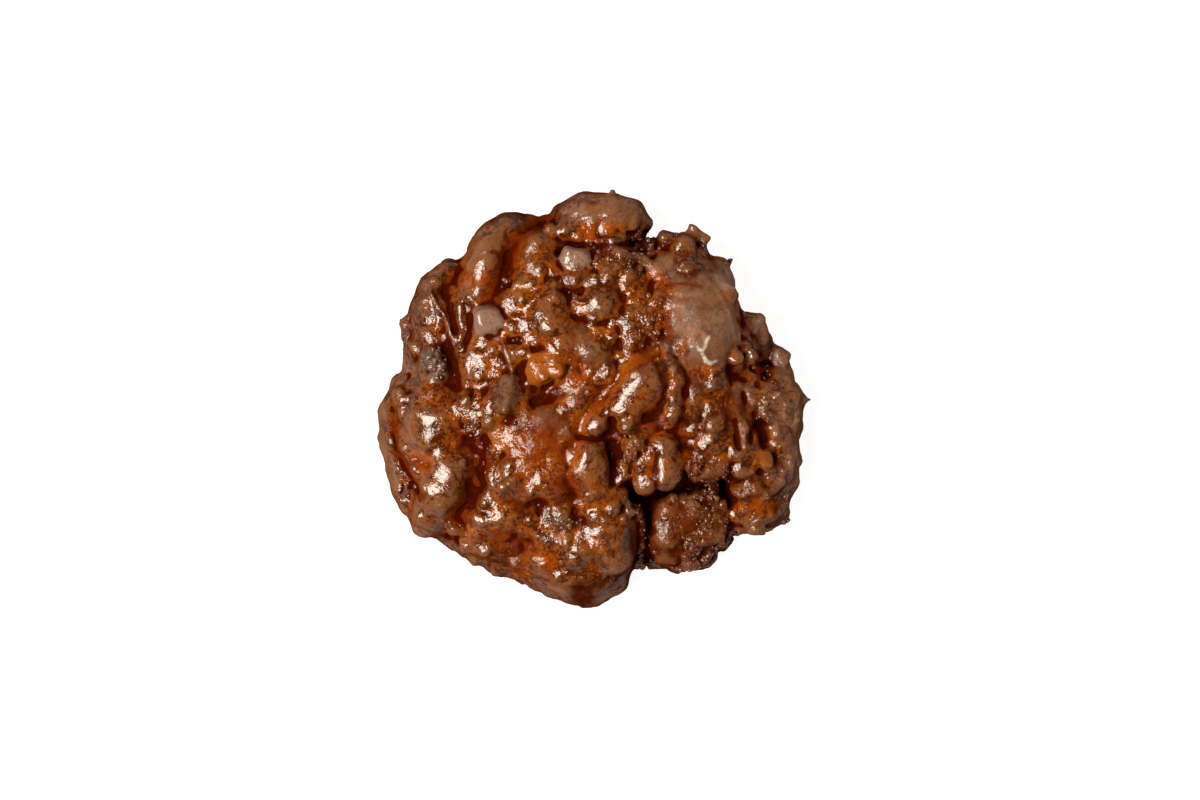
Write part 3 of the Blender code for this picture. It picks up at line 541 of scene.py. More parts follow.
# Tinted patches seen from above, by finish: how strongly each shows, x, y and radius
PATCHES = {
    "orange": (
        (0.9, -2, 47.3, 3.6), (0.6, -34, 34, 4), (0.8, -29, 9, 3), (0.6, -11, 23, 4), (0.9, -49, -18, 3),
        (0.45, -18, -12, 5), (0.8, 0, -25, 3.4), (0.7, -6, -18, 2.5), (0.8, 17, 13, 3), (0.7, 18, 36, 3),
        (0.8, 48, -10, 2.6), (0.6, 47, -31, 4), (0.5, 20, -22, 3), (0.6, -14, -46, 4), (0.4, 6, -36, 4),
        (0.5, -48, 2, 3), (0.6, 31, -12, 3), (0.6, -27, -37, 5), (0.6, -21, -48, 4), (0.5, -8, 8, 5),
        (0.4, 24, 27, 4), (0.35, 33, 29, 3), (0.35, 28, 19, 3), (0.7, -5, 6, 6), (0.35, 33, 9, 3),
    ),
    "amber": (
        (0.6, -20, 31, 4.5), (0.5, -26, -32, 5), (0.7, 9, -20, 2.5), (0.5, 24, 30.5, 3),
        (0.8, 48, -17, 3), (0.5, 36, -35, 2.6), (0.4, 27, -37, 3), (0.4, -22, -39, 3), (0.3, 27, 28, 2.5),
    ),
    # painted shadow in the clefts and painted shade in hollows and on lower sides, partly burnt sugar
    "burnt": (
        (0.9, 16, -30, 4), (1.0, 16, -38, 2.2), (1.0, 16, -46, 2.0), (0.9, 27, -25.5, 3.5),
        (0.8, 36, -25, 3.5), (0.8, 6, -14, 2.5), (0.8, 15, 47, 4), (0.8, 49, 8, 4), (0.7, 39, 7, 2.5),
        (0.6, 33, -43, 4.5), (0.4, -22, -44, 6), (0.4, -9, -28, 5), (0.4, 28, -40, 7),
        (0.4, -28, -47.5, 5), (0.4, -15, -54, 6), (0.5, -33, -12, 4), (0.4, -14, -31, 4),
        (0.45, -24, -3, 4), (0.3, -34, 17, 3), (0.45, 24, -41, 5), (0.6, -47, -15, 2.5),
        (0.5, -31, -9, 3), (0.6, 2, -8.5, 2.4), (0.5, 7, 32, 4), (0.6, 52, -31, 2.5),
        (0.75, -3, -56.5, 6), (0.4, -13, -53, 4), (0.4, 8, -51, 4), (0.6, -44, 16, 3),
    ),
    "charred": (
        (0.6, -22, -41, 4),
    ),
    # painted sheen on these places, partly a milky film of glaze
    "hazy": (
        (0.8, 28, -30, 4), (0.5, 46, -37, 3), (0.6, 54, -6, 9), (0.6, 53, -22, 7), (0.5, -50, -6, 9),
    ),
    # painted shade in hollows and on dark sides, partly the crust's own dark red mottles
    "russet": (
        (0.6, 41, -3, 6), (0.45, -12, -20, 5), (0.9, 27.5, -36, 3), (0.6, -15, -11, 10), (0.35, -7, 2, 6),
        (0.5, -22, -43, 8), (0.4, -20, -6, 7), (0.4, -6, 10, 5), (0.6, -8, -24, 6),
        (0.35, 24.5, 23.5, 1.7), (0.35, 22, 17.5, 1.6), (0.3, 36.5, 21, 1.6), (0.3, 29.5, 25.5, 2),
        (0.3, 27, 31, 2.2), (0.5, 30, -20, 5), (0.5, 14, 8, 3), (0.5, 26, -33, 7),
    ),
    # The pale patches on the rims, the crown and the dome are painted light.
    "pale": (
        (0.2, 30, 22, 9), (0.4, 37.5, 23, 5), (0.6, 38, 22, 7), (0.35, -56, 2, 8), (0.5, 54, -4, 9),
        (0.45, 54, -20, 7), (0.5, -6, 54, 6), (0.45, -55, 8, 7), (0.75, 38, 35, 5), (0.4, 36, 41, 3),
        (0.4, 46, -37, 3.5), (0.3, 56, -20, 4), (0.4, 28, -30, 4), (0.35, 46, 22, 3), (0.35, 53, 12, 3),
    ),
    "satin": (
        (0.6, -9, -38, 6),
    ),
    # painted light on the tops of the crown, the dome and the arm
    "tan": (
        (0.8, 6, 55, 6), (0.9, 38, 24, 7), (0.4, -31, 44, 6), (0.5, 2, 55, 5),
    ),
}

# Relief of the crust: size of one bump, its height, how much of it is there where the crust is smooth
RELIEF = ((6.5, 1.2, 0.5), (3.4, 1.2, 0.12), (1.6, 0.5, 0.05))
# Blisters with sharp creases between them: size, height, how much of it is there where the crust is smooth
BILLOWS = ((6.0, 4.2, 0.15), (2.8, 1.9, 0.08))
BILLOW_TWIST = 7.0  # the blisters are drawn out and bent by a noise of this size, as far as the warp says
BILLOW_WARP = 5.0
WARP_SEED = 140
BILLOW_SEED = 145
BILLOW_LEVELS = (0.2, 0.5)  # of the noise: where it neither raises nor cuts, and where it is cut off
ROUGH_ELSEWHERE = 0.5  # how rough a lump is that the finishes don't name as rough
# Pitting of the whole crust, the fruit too: size of one pit, its depth
PITTING = ((3.0, 0.25), (1.5, 0.15))
PITTING_SEED = 61
RELIEF_SEED = 50

# Numbers that scramble a cell's place and a seed into a slope
HASH_PRIMES = (374761393, 668265263, 2147483647)
HASH_SEED = 144665
HASH_LAST = 1274126177


def smooth_noise(points, seed):
    """Gradient noise at each point, one bump a unit: blends the slopes hashed at eight cell corners."""
    cell = np.floor(points).astype(np.int64)
    inside = points - cell
    fade = inside**3 * (inside * (inside * 6 - 15) + 10)
    total = np.zeros(len(points))
    for corner in itertools.product((0, 1), repeat=3):
        at = cell + np.array(corner)
        mixed = at @ np.array(HASH_PRIMES) + seed * HASH_SEED
        mixed = (mixed ^ (mixed >> 13)) * HASH_LAST
        slope = np.stack([((mixed >> shift) & 1023) / 511.5 - 1 for shift in (3, 14, 25)], axis=1)
        weight = np.prod(np.where(corner, fade, 1 - fade), axis=1)
        total += weight * ((inside - np.array(corner)) * slope).sum(axis=1)
    return total


class Volume:
    """A grid of points through the fritter, with the signed distance to the crust at each of them."""

    def __init__(self):
        self.axes = [
            np.arange(low, high + STEP, STEP, dtype=np.float32) for low, high in zip(GRID_LOW, GRID_HIGH)
        ]
        shape = [len(axis) for axis in self.axes]
        self.distance = np.full(shape, FAR, np.float32)
        self.lump = np.zeros(shape, np.uint8)

    def box(self, low, high):
        """The slices of the grid that hold everything within FAR of a box, and its x, y and z there."""
        part = tuple(
            slice(*np.searchsorted(axis, (a - FAR, b + FAR))) for axis, a, b in zip(self.axes, low, high)
        )
        return part, np.ix_(*(axis[index] for axis, index in zip(self.axes, part)))

    def join(self, low, high, distance, fuse, lump=0):
        """Smooth minimum of the distance here and the lump's, worked out in the lump's box alone.

        Where both distances are within fuse of each other, the crease between them is filled by
        a quarter of fuse times the square of how close they are.
        """
        part, places = self.box(low, high)
        new = distance(*places).astype(np.float32)
        old = self.distance[part]
        self.lump[part] = np.where(new < old, np.uint8(lump), self.lump[part])
        near = np.clip(1 - np.abs(old - new) / fuse, 0, 1)
        self.distance[part] = np.minimum(old, new) - fuse / 4 * near**2

    def plan(self):
        """The x and y of the grid's columns, seen from above."""
        return np.ix_(self.axes[0], self.axes[1])

    def upper_side(self):
        """1 at the levels that strokes and patches reach, fading to 0 below them."""
        return np.clip((self.axes[2] - STROKE_LOWEST) / STROKE_FADE, 0, 1).astype(np.float32)

    def band(self, within):
        """Numbers and places of the grid points that lie near the crust."""
        near = np.flatnonzero(np.abs(self.distance).reshape(-1) < within)
        index = np.unravel_index(near, self.distance.shape)
        return near, np.stack([axis[i] for axis, i in zip(self.axes, index)], axis=1).astype(float)

    def blurred(self, values, radius):
        """Mean over a cube of that radius, from running sums along x, y and z."""
        reach = max(1, round(radius / STEP))
        for axis in range(3):
            pad = [(0, 0)] * 3
            pad[axis] = (reach + 1, reach)
            sums = np.cumsum(np.pad(values, pad, mode="edge"), axis=axis, dtype=np.float64)
            wide = 2 * reach + 1
            far = np.take(sums, range(wide, sums.shape[axis]), axis=axis)
            near = np.take(sums, range(far.shape[axis]), axis=axis)
            values = ((far - near) / wide).astype(np.float32)
        return values

    def at(self, values, points):
        """Values between the grid's points, straight along each axis between the two nearest."""
        place = (points - [axis[0] for axis in self.axes]) / STEP
        low = np.clip(np.floor(place).astype(int), 0, np.array(values.shape) - 2)
        share = place - low
        total = np.zeros(len(points))
        for corner in itertools.product((0, 1), repeat=3):
            weight = np.prod(np.where(corner, share, 1 - share), axis=1)
            total += weight * values[tuple((low + corner).T)]
        return total


def distance_from(q, slope):
    """Distance to the shape where q is 1, from a q that grows in step with the size: q (q - 1) / slope."""
    return q * (q - 1) / np.maximum(slope, 1e-3)


def lump_distance(dx, dy, dz, radius, upper, lower, power):
    """Distance to a lump whose upper half is an ellipsoid and whose lower half is fuller.

    With each offset divided by its half size, q is the root of the sum of squares above the middle
    and the superellipse of that power below it.
    """
    flat = np.sqrt(dx**2 + dy**2) / radius
    below = dz < 0
    tall = np.where(below, lower, upper)
    high = np.abs(dz) / tall
    q = np.where(below, (flat**power + high**power) ** (1 / power), np.sqrt(flat**2 + high**2))
    slope = np.sqrt((flat / radius) ** 2 + (high / tall) ** 2)
    return distance_from(q, slope)


def add_lobe(volume, stations, lump, rise=LOBE_RISE, tuck=0.0, foot=LOBE_FOOT, fuse=FUSE_LOBE):
    """A row of balls as one lump: x, y, top and radius run straight from each station to the next."""
    stations = np.array(stations, float).reshape(-1, 4)
    for start, end in zip(stations, stations[1:] if len(stations) > 1 else stations):
        span = (end - start)[:2]
        length = max(float(span @ span), 1e-9)

        def distance(x, y, z, start=start, end=end, span=span, length=length):
            along = np.clip(((x - start[0]) * span[0] + (y - start[1]) * span[1]) / length, 0, 1)
            at_x, at_y, top, radius = (a + (b - a) * along for a, b in zip(start, end))
            middle = top - radius * rise
            drop = np.maximum(middle - foot, radius)
            dz = z - middle
            away = np.maximum(np.hypot(at_x, at_y), radius)
            inward = tuck * np.clip(-dz / drop, 0, 1) ** 2
            dx = x - at_x + inward * at_x / away
            dy = y - at_y + inward * at_y / away
            return lump_distance(dx, dy, dz, radius, radius * rise, drop, LOBE_FULLNESS)

        both = np.array([start, end])
        reach = both[:, 3].max() + tuck
        low = (*(both[:, :2].min(axis=0) - reach), 0)
        high = (*(both[:, :2].max(axis=0) + reach), both[:, 2].max())
        volume.join(low, high, distance, fuse, lump)


def add_body(volume, x0, y0, half_length, half_width, turn, low, high):
    """A flattened ball between two levels, its section a superellipse."""
    c, s = math.cos(math.radians(turn)), math.sin(math.radians(turn))
    middle, half = (low + high) / 2, (high - low) / 2

    def distance(x, y, z):
        dx = ((x - x0) * c + (y - y0) * s) / half_length
        dy = ((y - y0) * c - (x - x0) * s) / half_width
        dz = np.abs(z - middle) / half
        flat = np.sqrt(dx**2 + dy**2)
        q = (flat**BODY_FULLNESS + dz**BODY_FULLNESS) ** (1 / BODY_FULLNESS)
        slope = np.sqrt((dx / half_length) ** 2 + (dy / half_width) ** 2 + (dz / half) ** 2)
        return distance_from(q, slope)

    reach = max(half_length, half_width)
    volume.join((x0 - reach, y0 - reach, low), (x0 + reach, y0 + reach, high), distance, FUSE_BODY)


def add_bit(volume, lump, x0, y0, top, length, width, height, turn, tilt, roll=None, taper=0.0):
    """A rounded block of fruit: a superellipsoid, tilted about x, rolled about y and turned about z.

    Its length and height shrink towards its +y end and grow towards the other, by the share taper.
    A block without a roll of its own is rolled as much as it is tilted.
    """
    roll = tilt if roll is None else roll
    (cx, sx), (cy, sy), (cz, sz) = (
        (math.cos(math.radians(angle)), math.sin(math.radians(angle))) for angle in (tilt, roll, turn)
    )
    about_x = np.array([[1, 0, 0], [0, cx, -sx], [0, sx, cx]])
    about_y = np.array([[cy, 0, sy], [0, 1, 0], [-sy, 0, cy]])
    about_z = np.array([[cz, -sz, 0], [sz, cz, 0], [0, 0, 1]])
    back = np.linalg.inv(about_z @ about_y @ about_x)
    size = np.array([length, width, height]) / 2

    def distance(x, y, z):
        offset = (x - x0, y - y0, z - top + height / 2)
        local = [sum(row[i] * offset[i] for i in range(3)) / half for row, half in zip(back, size)]
        narrow = np.maximum(1 - taper * local[1], 0.2)
        local = [local[0] / narrow, local[1], local[2] / narrow]
        q = sum(np.abs(part) ** BIT_SQUARENESS for part in local) ** (1 / BIT_SQUARENESS)
        slope = np.sqrt(sum((part / half) ** 2 for part, half in zip(local, size)))
        return distance_from(q, slope)

    reach = max(size) * 1.4
    low = (x0 - reach, y0 - reach, top - height / 2 - reach)
    high = (x0 + reach, y0 + reach, top - height / 2 + reach)
    volume.join(low, high, distance, FUSE_BIT, lump)


def add_waist(volume, draw, stations, lump):
    """Smaller lumps low under the balls of a rim lobe, inside its outline, so the side is lumpy too."""
    for x, y, _, radius in stations:
        away = math.hypot(x, y)
        share = WAIST_SHARE * draw.uniform(*WAIST_SIZES)
        out = 1 + radius * (1 - share) * WAIST_INSET / away
        aside = draw.uniform(-WAIST_ASIDE, WAIST_ASIDE) * radius / away
        place = ((x - y * aside) * out, (y + x * aside) * out, draw.uniform(*WAIST_TOPS), radius * share)
        add_lobe(volume, place, lump, foot=math.inf)


def add_crumb_field(volume, draw, lump, x, y, spread, count, top, radius):
    """A field of small balls, thinning out from its middle, each resting on the dough below it."""
    for _ in range(count):
        angle = draw.uniform(0, 2 * math.pi)
        away = spread * draw.uniform() ** FIELD_THINNING
        place = (x + away * math.cos(angle), y + away * math.sin(angle))
        size = radius * draw.uniform(*FIELD_SIZES)
        add_lobe(volume, (*place, top + draw.uniform(*FIELD_TOPS), size), lump, fuse=FUSE_CRUMB)


def add_underside(volume, draw):
    """Rings of low flattened balls that the fritter lies on."""
    for distance, count, radius in UNDER_RINGS:
        for step in range(count):
            angle = 2 * math.pi * (step + draw.uniform(-UNDER_TURN, UNDER_TURN)) / count
            size = radius * draw.uniform(*UNDER_SIZES)
            x0 = UNDER_MIDDLE[0] + distance * math.cos(angle)
            y0 = UNDER_MIDDLE[1] + distance * math.sin(angle)
            low = UNDER_LOWEST + (0 if distance == 0 else draw.uniform(0, UNDER_RISE))
            half = size * UNDER_FLATNESS

            def shape(x, y, z, x0=x0, y0=y0, size=size, low=low, half=half):
                return lump_distance(x - x0, y - y0, z - low - half, size, half, half, 2)

            volume.join((x0 - size, y0 - size, low), (x0 + size, y0 + size, low + half), shape, FUSE_BODY)


def stroke_share(x, y, points, half_width):
    """How much of a stroke there is at x, y: a bell curve of the distance to its nearest stretch."""
    points = np.array(points, float)
    nearest = np.full(np.broadcast(x, y).shape, np.inf)
    for start, end in zip(points, points[1:]):
        span = end - start
        along = np.clip(((x - start[0]) * span[0] + (y - start[1]) * span[1]) / (span @ span), 0, 1)
        away = np.hypot(x - start[0] - along * span[0], y - start[1] - along * span[1])
        nearest = np.minimum(nearest, away)
    return np.exp(-((nearest / half_width) ** 2))


def draw_strokes(volume):
    """Raises or cuts the crust along the strokes."""
    x, y = volume.plan()
    for height, half_width, _, _, *points in STROKES.values():
        if height:
            share = (height * stroke_share(x, y, points, half_width)).astype(np.float32)
            volume.distance -= share[:, :, None] * volume.upper_side()


def painted(volume, finish):
    """How strongly a finish is painted on from above, at each x and y: its strokes and its patches."""
    x, y = volume.plan()
    amount = np.zeros(volume.distance.shape[:2])
    for _, half_width, name, most, *points in STROKES.values():
        if name == finish:
            amount = np.maximum(amount, most * stroke_share(x, y, points, half_width * PAINT_SPREAD))
    for most, x0, y0, radius in PATCHES.get(finish, ()):
        away = ((x - x0) ** 2 + (y - y0) ** 2) / radius**2
        amount = np.maximum(amount, most * np.exp(-away**1.5))
    return amount.astype(np.float32)


def open_clefts(volume):
    """How far each x and y belongs to a cleft that stays open."""
    x, y = volume.plan()
    return sum(stroke_share(x, y, points, half_width) for half_width, *points in OPEN_CLEFTS)


def fill_creases(volume):
    """Fills narrow creases: where the share of solid round a point is high, the crust rises to cover it."""
    share = volume.blurred((volume.distance < 0).astype(np.float32), FILL_RADIUS)
    filled = (FILL_SHARE + open_clefts(volume)[:, :, None].astype(np.float32) - share) * 2 * FILL_RADIUS
    near = np.clip(1 - np.abs(volume.distance - filled) / FILL_FUSE, 0, 1)
    volume.distance = np.minimum(volume.distance, filled) - FILL_FUSE / 4 * near**2


def tops_of(volume):
    """The level of the topmost solid point at each x and y."""
    solid = volume.distance < 0
    top = solid.shape[2] - 1 - np.argmax(solid[:, :, ::-1], axis=2)
    return np.where(solid.any(axis=2), volume.axes[2][top], GRID_LOW[2])


def most_round(levels, reach, most):
    """The highest level within reach of each place, along x and then along y, or the lowest."""
    steps = round(reach / STEP)
    for axis in (0, 1):
        pad = [(steps, steps) if axis == other else (0, 0) for other in (0, 1)]
        wide = np.pad(levels, pad, mode="edge")
        count = levels.shape[axis]
        levels = most([np.take(wide, range(k, k + count), axis=axis) for k in range(2 * steps + 1)], axis=0)
    return levels


def fill_valleys(volume, rough, draw):
    """Small lumps in the valleys: where the top lies well below the highest round it, a ball rises."""
    levels = tops_of(volume)
    ceiling = most_round(levels, INFILL_REACH, np.max)
    inside = most_round(levels, INFILL_EDGE, np.min) > STROKE_LOWEST
    x, y = volume.plan()
    clear = open_clefts(volume)
    for finish, share in INFILL_CLEAR.items():
        clear = np.maximum(clear, share * painted(volume, finish))
    for x0, y0, _, length, width, *_ in FRUIT_BITS.values():
        reach = BIT_CLEARANCE * (length + width)
        clear = np.maximum(clear, np.exp(-((x - x0) ** 2 + (y - y0) ** 2) / reach**2))
    for _ in range(INFILL_COUNT):
        i, j = (int(draw.integers(0, count)) for count in levels.shape)
        chance, size, rise = draw.uniform(0, 1, 3)
        gap = ceiling[i, j] - levels[i, j]
        if not inside[i, j] or levels[i, j] < INFILL_LOWEST or gap < INFILL_DEPTH:
            continue
        k = int(np.searchsorted(volume.axes[2], levels[i, j]))
        wanted = min(1, INFILL_CHANCE["smooth"] + rough[i, j, k] * INFILL_CHANCE["rough"])
        if chance > wanted - clear[i, j] * INFILL_CHANCE["clear"]:
            continue
        radius = INFILL_SIZES[0] + (INFILL_SIZES[1] - INFILL_SIZES[0]) * size**1.5
        lift = gap * (INFILL_RISE[0] + (INFILL_RISE[1] - INFILL_RISE[0]) * rise)
        level = levels[i, j] + min(lift, radius * 1.5)
        place = (volume.axes[0][i], volume.axes[1][j], level, radius)
        add_lobe(volume, place, NUMBER["infill"], foot=math.inf, fuse=FUSE_CRUMB)
        away = (x - place[0]) ** 2 + (y - place[1]) ** 2
        levels = np.where(away < radius**2, np.maximum(levels, level - away / (2 * radius)), levels)


def strew_lumps(volume, rough, draw):
    """Small lumps at random places on top, more and larger where the crust is rough."""
    levels = tops_of(volume)
    for _ in range(STREWN_COUNT):
        i, j = (int(draw.integers(0, count)) for count in levels.shape)
        chance, size, lift = draw.uniform(0, 1, 3)
        if levels[i, j] < STROKE_LOWEST:
            continue
        k = int(np.searchsorted(volume.axes[2], levels[i, j]))
        amount = rough[i, j, k]
        if chance > amount * STREWN_CHANCE:
            continue
        radius = STREWN_SIZES[0] + (STREWN_SIZES[1] - STREWN_SIZES[0]) * size**2 * (0.4 + 0.6 * amount)
        level = levels[i, j] + radius * (STREWN_RISE[0] + lift * STREWN_RISE[1])
        place = (volume.axes[0][i], volume.axes[1][j], level, radius)
        add_lobe(volume, place, volume.lump[i, j, k], foot=math.inf, fuse=FUSE_CRUMB)


def finish_volume(volume, finish):
    """How strongly a finish shows at each grid point, from the lump that is nearest there."""
    table = np.full(256, ROUGH_ELSEWHERE if finish == "rough" else 0, np.float32)
    for amount, names in FINISHES[finish].items():
        table[[NUMBER[name] for name in names.split()]] = amount
    return table[volume.lump]


def add_pits(volume, band, pits, seed):
    """Pushes the crust in and out by a noise of each size and depth."""
    near, places = volume.band(band)
    for order, (size, depth) in enumerate(pits):
        volume.distance.reshape(-1)[near] -= depth * smooth_noise(places / size, seed + order)


def add_relief(volume, rough):
    """Bumps and sharp-creased blisters, higher where the crust is rough.

    A bump is a noise of its size. A blister is a noise without its sign, cut off at the top and
    read at places that another noise has moved.
    """
    near, places = volume.band(RELIEF_BAND)
    flat = volume.distance.reshape(-1)
    roughness = rough.reshape(-1)[near]
    for order, (size, height, least) in enumerate(RELIEF):
        share = least + (1 - least) * roughness
        flat[near] -= height * share * smooth_noise(places / size, RELIEF_SEED + order)
    warp = [BILLOW_WARP * smooth_noise(places / BILLOW_TWIST, WARP_SEED + axis) for axis in range(3)]
    bent = places + np.stack(warp, axis=1)
    for order, (size, height, least) in enumerate(BILLOWS):
        share = least + (1 - least) * roughness
        billow = np.abs(smooth_noise(bent / size, BILLOW_SEED + order))
        billow = np.minimum(billow, BILLOW_LEVELS[1]) - BILLOW_LEVELS[0]
        flat[near] -= height * share * billow


def fritter_volume():
    """The whole fritter as distances: its dough first, then what is fried onto it, then its relief."""
    volume = Volume()
    for body in BODIES.values():
        add_body(volume, *body)
    draw = np.random.default_rng(WAIST_SEED)
    for name, stations in RIM_LOBES.items():
        add_lobe(volume, stations, NUMBER[name], RIM_RISE, RIM_TUCK)
        add_waist(volume, draw, stations, NUMBER[name])
    for name, stations in LOBES.items():
        add_lobe(volume, stations, NUMBER[name])
    for name, bit in FRUIT_BITS.items():
        add_bit(volume, NUMBER[name], *bit)
    rough = volume.blurred(finish_volume(volume, "rough"), ROUGH_BLEND)
    fill_valleys(volume, rough, np.random.default_rng(INFILL_SEED))
    add_pits(volume, DENT_BAND, DENTS, DENT_SEED)
    draw = np.random.default_rng(CRUMB_SEED)
    for name, field in CRUMB_FIELDS.items():
        add_crumb_field(volume, draw, NUMBER[name], *field)
    thorn = [(x, y, middle + radius * LOBE_RISE, radius) for x, y, middle, radius in THORN]
    add_lobe(volume, thorn, NUMBER["right_rim"], foot=math.inf)
    fill_creases(volume)
    rough = volume.blurred(finish_volume(volume, "rough"), ROUGH_BLEND)
    strew_lumps(volume, rough, np.random.default_rng(STREWN_SEED))
    draw_strokes(volume)
    add_relief(volume, rough)
    for name in CLEAN_BITS:
        add_bit(volume, NUMBER[name], *FRUIT_BITS[name])
    add_pits(volume, RELIEF_BAND, PITTING, PITTING_SEED)
    add_underside(volume, np.random.default_rng(UNDER_SEED))
    volume.distance = np.maximum(volume.distance, FLOOR_GAP - volume.axes[2])
    return volume


def surface_of(volume):
    """Points and quads of the surface where the distance is 0.

    Each grid edge whose ends lie on different sides is crossed at the place that its two distances
    give. A cell's point is the mean of its edges' crossings, and each crossed edge gives one quad
    between the four cells round it, turned to face outwards.
    """
    field = volume.distance
    strides = np.array([field.shape[1] * field.shape[2], field.shape[2], 1])
    inside = field < 0
    cells, places, quads = [], [], []
    flat = field.reshape(-1)
    for axis in range(3):
        lower = [slice(None)] * 3
        upper = [slice(None)] * 3
        lower[axis], upper[axis] = slice(None, -1), slice(1, None)
        crossed = np.argwhere(inside[tuple(lower)] != inside[tuple(upper)])
        start = crossed @ strides
        points = crossed.astype(float)
        points[:, axis] += flat[start] / (flat[start] - flat[start + strides[axis]])
        across, along = strides[[other for other in range(3) if other != axis]]
        ring = np.stack([start, start - across, start - across - along, start - along], axis=1)
        outwards = inside.reshape(-1)[start] != (axis == 1)
        quads.append(np.where(outwards[:, None], ring, ring[:, ::-1]))
        cells.append(ring.T.reshape(-1))
        places.append(np.tile(points, (4, 1)))
    used, index = np.unique(np.concatenate(cells), return_inverse=True)
    places = np.concatenate(places)
    count = np.bincount(index)
    grid = np.stack([np.bincount(index, part) / count for part in places.T], axis=1)
    points = np.array([axis[0] for axis in volume.axes]) + grid * STEP
    return points, np.searchsorted(used, np.concatenate(quads))


def largest_shell(points, quads):
    """The shell with the most points: every point takes the lowest number that it is joined to."""
    label = np.arange(len(points))
    while True:
        fresh = label.copy()
        least = label[quads].min(axis=1)
        for corner in range(4):
            np.minimum.at(fresh, quads[:, corner], least)
        fresh = fresh[fresh]
        if np.array_equal(fresh, label):
            break
        label = fresh
    keep = label == np.bincount(label).argmax()
    number = np.cumsum(keep) - 1
    return points[keep], number[quads[keep[quads[:, 0]]]]


def smoothed(points, quads, rounds):
    """Moves each point half way to the mean of its neighbours', round after round."""
    ends = np.concatenate([quads[:, [0, 1]], quads[:, [1, 2]], quads[:, [2, 3]], quads[:, [3, 0]]])
    a, b = ends[ends[:, 0] < ends[:, 1]].T
    links = np.bincount(a, minlength=len(points)) + np.bincount(b, minlength=len(points))
    for _ in range(rounds):
        total = [
            np.bincount(a, part[b], len(points)) + np.bincount(b, part[a], len(points)) for part in points.T
        ]
        points = (points + np.stack(total, axis=1) / links[:, None]) / 2
    return points


def new_piece(name, points, faces, material):
    """A smooth-shaded object at the origin, from points in millimetres and faces of equal corner counts."""
    mesh = bpy.data.meshes.new(name)
    faces = np.asarray(faces, np.int32)
    mesh.vertices.add(len(points))
    mesh.vertices.foreach_set("co", (np.asarray(points) * MM).astype(np.float32).ravel())
    mesh.loops.add(faces.size)
    mesh.loops.foreach_set("vertex_index", faces.ravel())
    mesh.polygons.add(len(faces))
    mesh.polygons.foreach_set("loop_start", np.arange(0, faces.size, faces.shape[1], dtype=np.int32))
    mesh.polygons.foreach_set("use_smooth", np.ones(len(faces), bool))
    mesh.update(calc_edges=True)
    mesh.materials.append(material)
    piece = bpy.data.objects.new(name, mesh)
    bpy.context.scene.collection.objects.link(piece)
    return piece


def read(values, name, width=1):
    """What a mesh holds under that name, one row for each point."""
    flat = np.empty(len(values) * width, np.float32)
    values.foreach_get(name, flat)
    return flat.reshape(-1, width)


def give(mesh, name, values):
    """Stores one number for each point under that name, for the material to read."""
    mesh.attributes.new(name, "FLOAT", "POINT").data.foreach_set("value", values.astype(np.float32))


def thinned(piece, most):
    """The piece with fewer triangles, taken first where it is flattest."""
    thin_out = piece.modifiers.new("thin_out", "DECIMATE")
    thin_out.ratio = min(1.0, most / (2 * len(piece.data.polygons)))
    graph = bpy.context.evaluated_depsgraph_get()
    mesh = bpy.data.meshes.new_from_object(piece.evaluated_get(graph), depsgraph=graph)
    piece.modifiers.clear()
    old = piece.data
    piece.data = mesh
    bpy.data.meshes.remove(old)
    mesh.polygons.foreach_set("use_smooth", np.ones(len(mesh.polygons), bool))
    return piece


def make_crust(volume, material):
    """The crust: the surface of distance 0, fitted in the solid's box, with its finishes on its points."""
    points, quads = largest_shell(*surface_of(volume))
    points = smoothed(points, quads, SMOOTH_ROUNDS)
    crust = thinned(new_piece("glazed_crust", points, quads, material), CRUST_TRIANGLES)
    mesh = crust.data
    points = read(mesh.vertices, "co", 3).astype(float) / MM
    solid = (volume.distance < 0).astype(np.float32)
    for name, radius in SHARES.items():
        give(mesh, name, volume.at(volume.blurred(solid, radius), points))
    give(mesh, "up", read(mesh.vertices, "normal", 3)[:, 2])
    for name in FINISHES:
        amount = volume.blurred(finish_volume(volume, name), FINISH_BLEND)
        amount = np.maximum(amount, painted(volume, name)[:, :, None] * volume.upper_side())
        give(mesh, name, volume.at(amount, points))
    fit_in_box(mesh, points)
    return crust


def fit_in_box(mesh, points):
    """Moves the points over the middle of the solid's box, and squeezes them where they leave it.

    They stay above the table by the floor gap.
    """
    low, high = (np.array(corner) / MM for corner in SOLID_BOX)
    middle = (low + high) / 2
    own = (points.min(axis=0) + points.max(axis=0)) / 2
    moved = points + (middle - own) * (1, 1, 0)
    share = np.minimum(1, (high - low) / np.maximum(np.ptp(points, axis=0), 1e-6))
    moved[:, :2] = middle[:2] + (moved[:, :2] - middle[:2]) * share[:2]
    top = points[:, 2].max()
    moved[:, 2] = np.maximum(points[:, 2] * min(1, high[2] / top), FLOOR_GAP)
    mesh.vertices.foreach_set("co", (moved * MM).astype(np.float32).ravel())
    mesh.update()


def tone(code):
    """A colour as it shows on screen in this light, six hex digits, as the share of light it gives back."""
    screen = [int(code[place:place + 2], 16) / 255 for place in (0, 2, 4)]
    light = (c / 12.92 if c <= 0.04045 else ((c + 0.055) / 1.055) ** 2.4 for c in screen)
    return tuple(TONE_SHARE * part for part in light) + (1.0,)


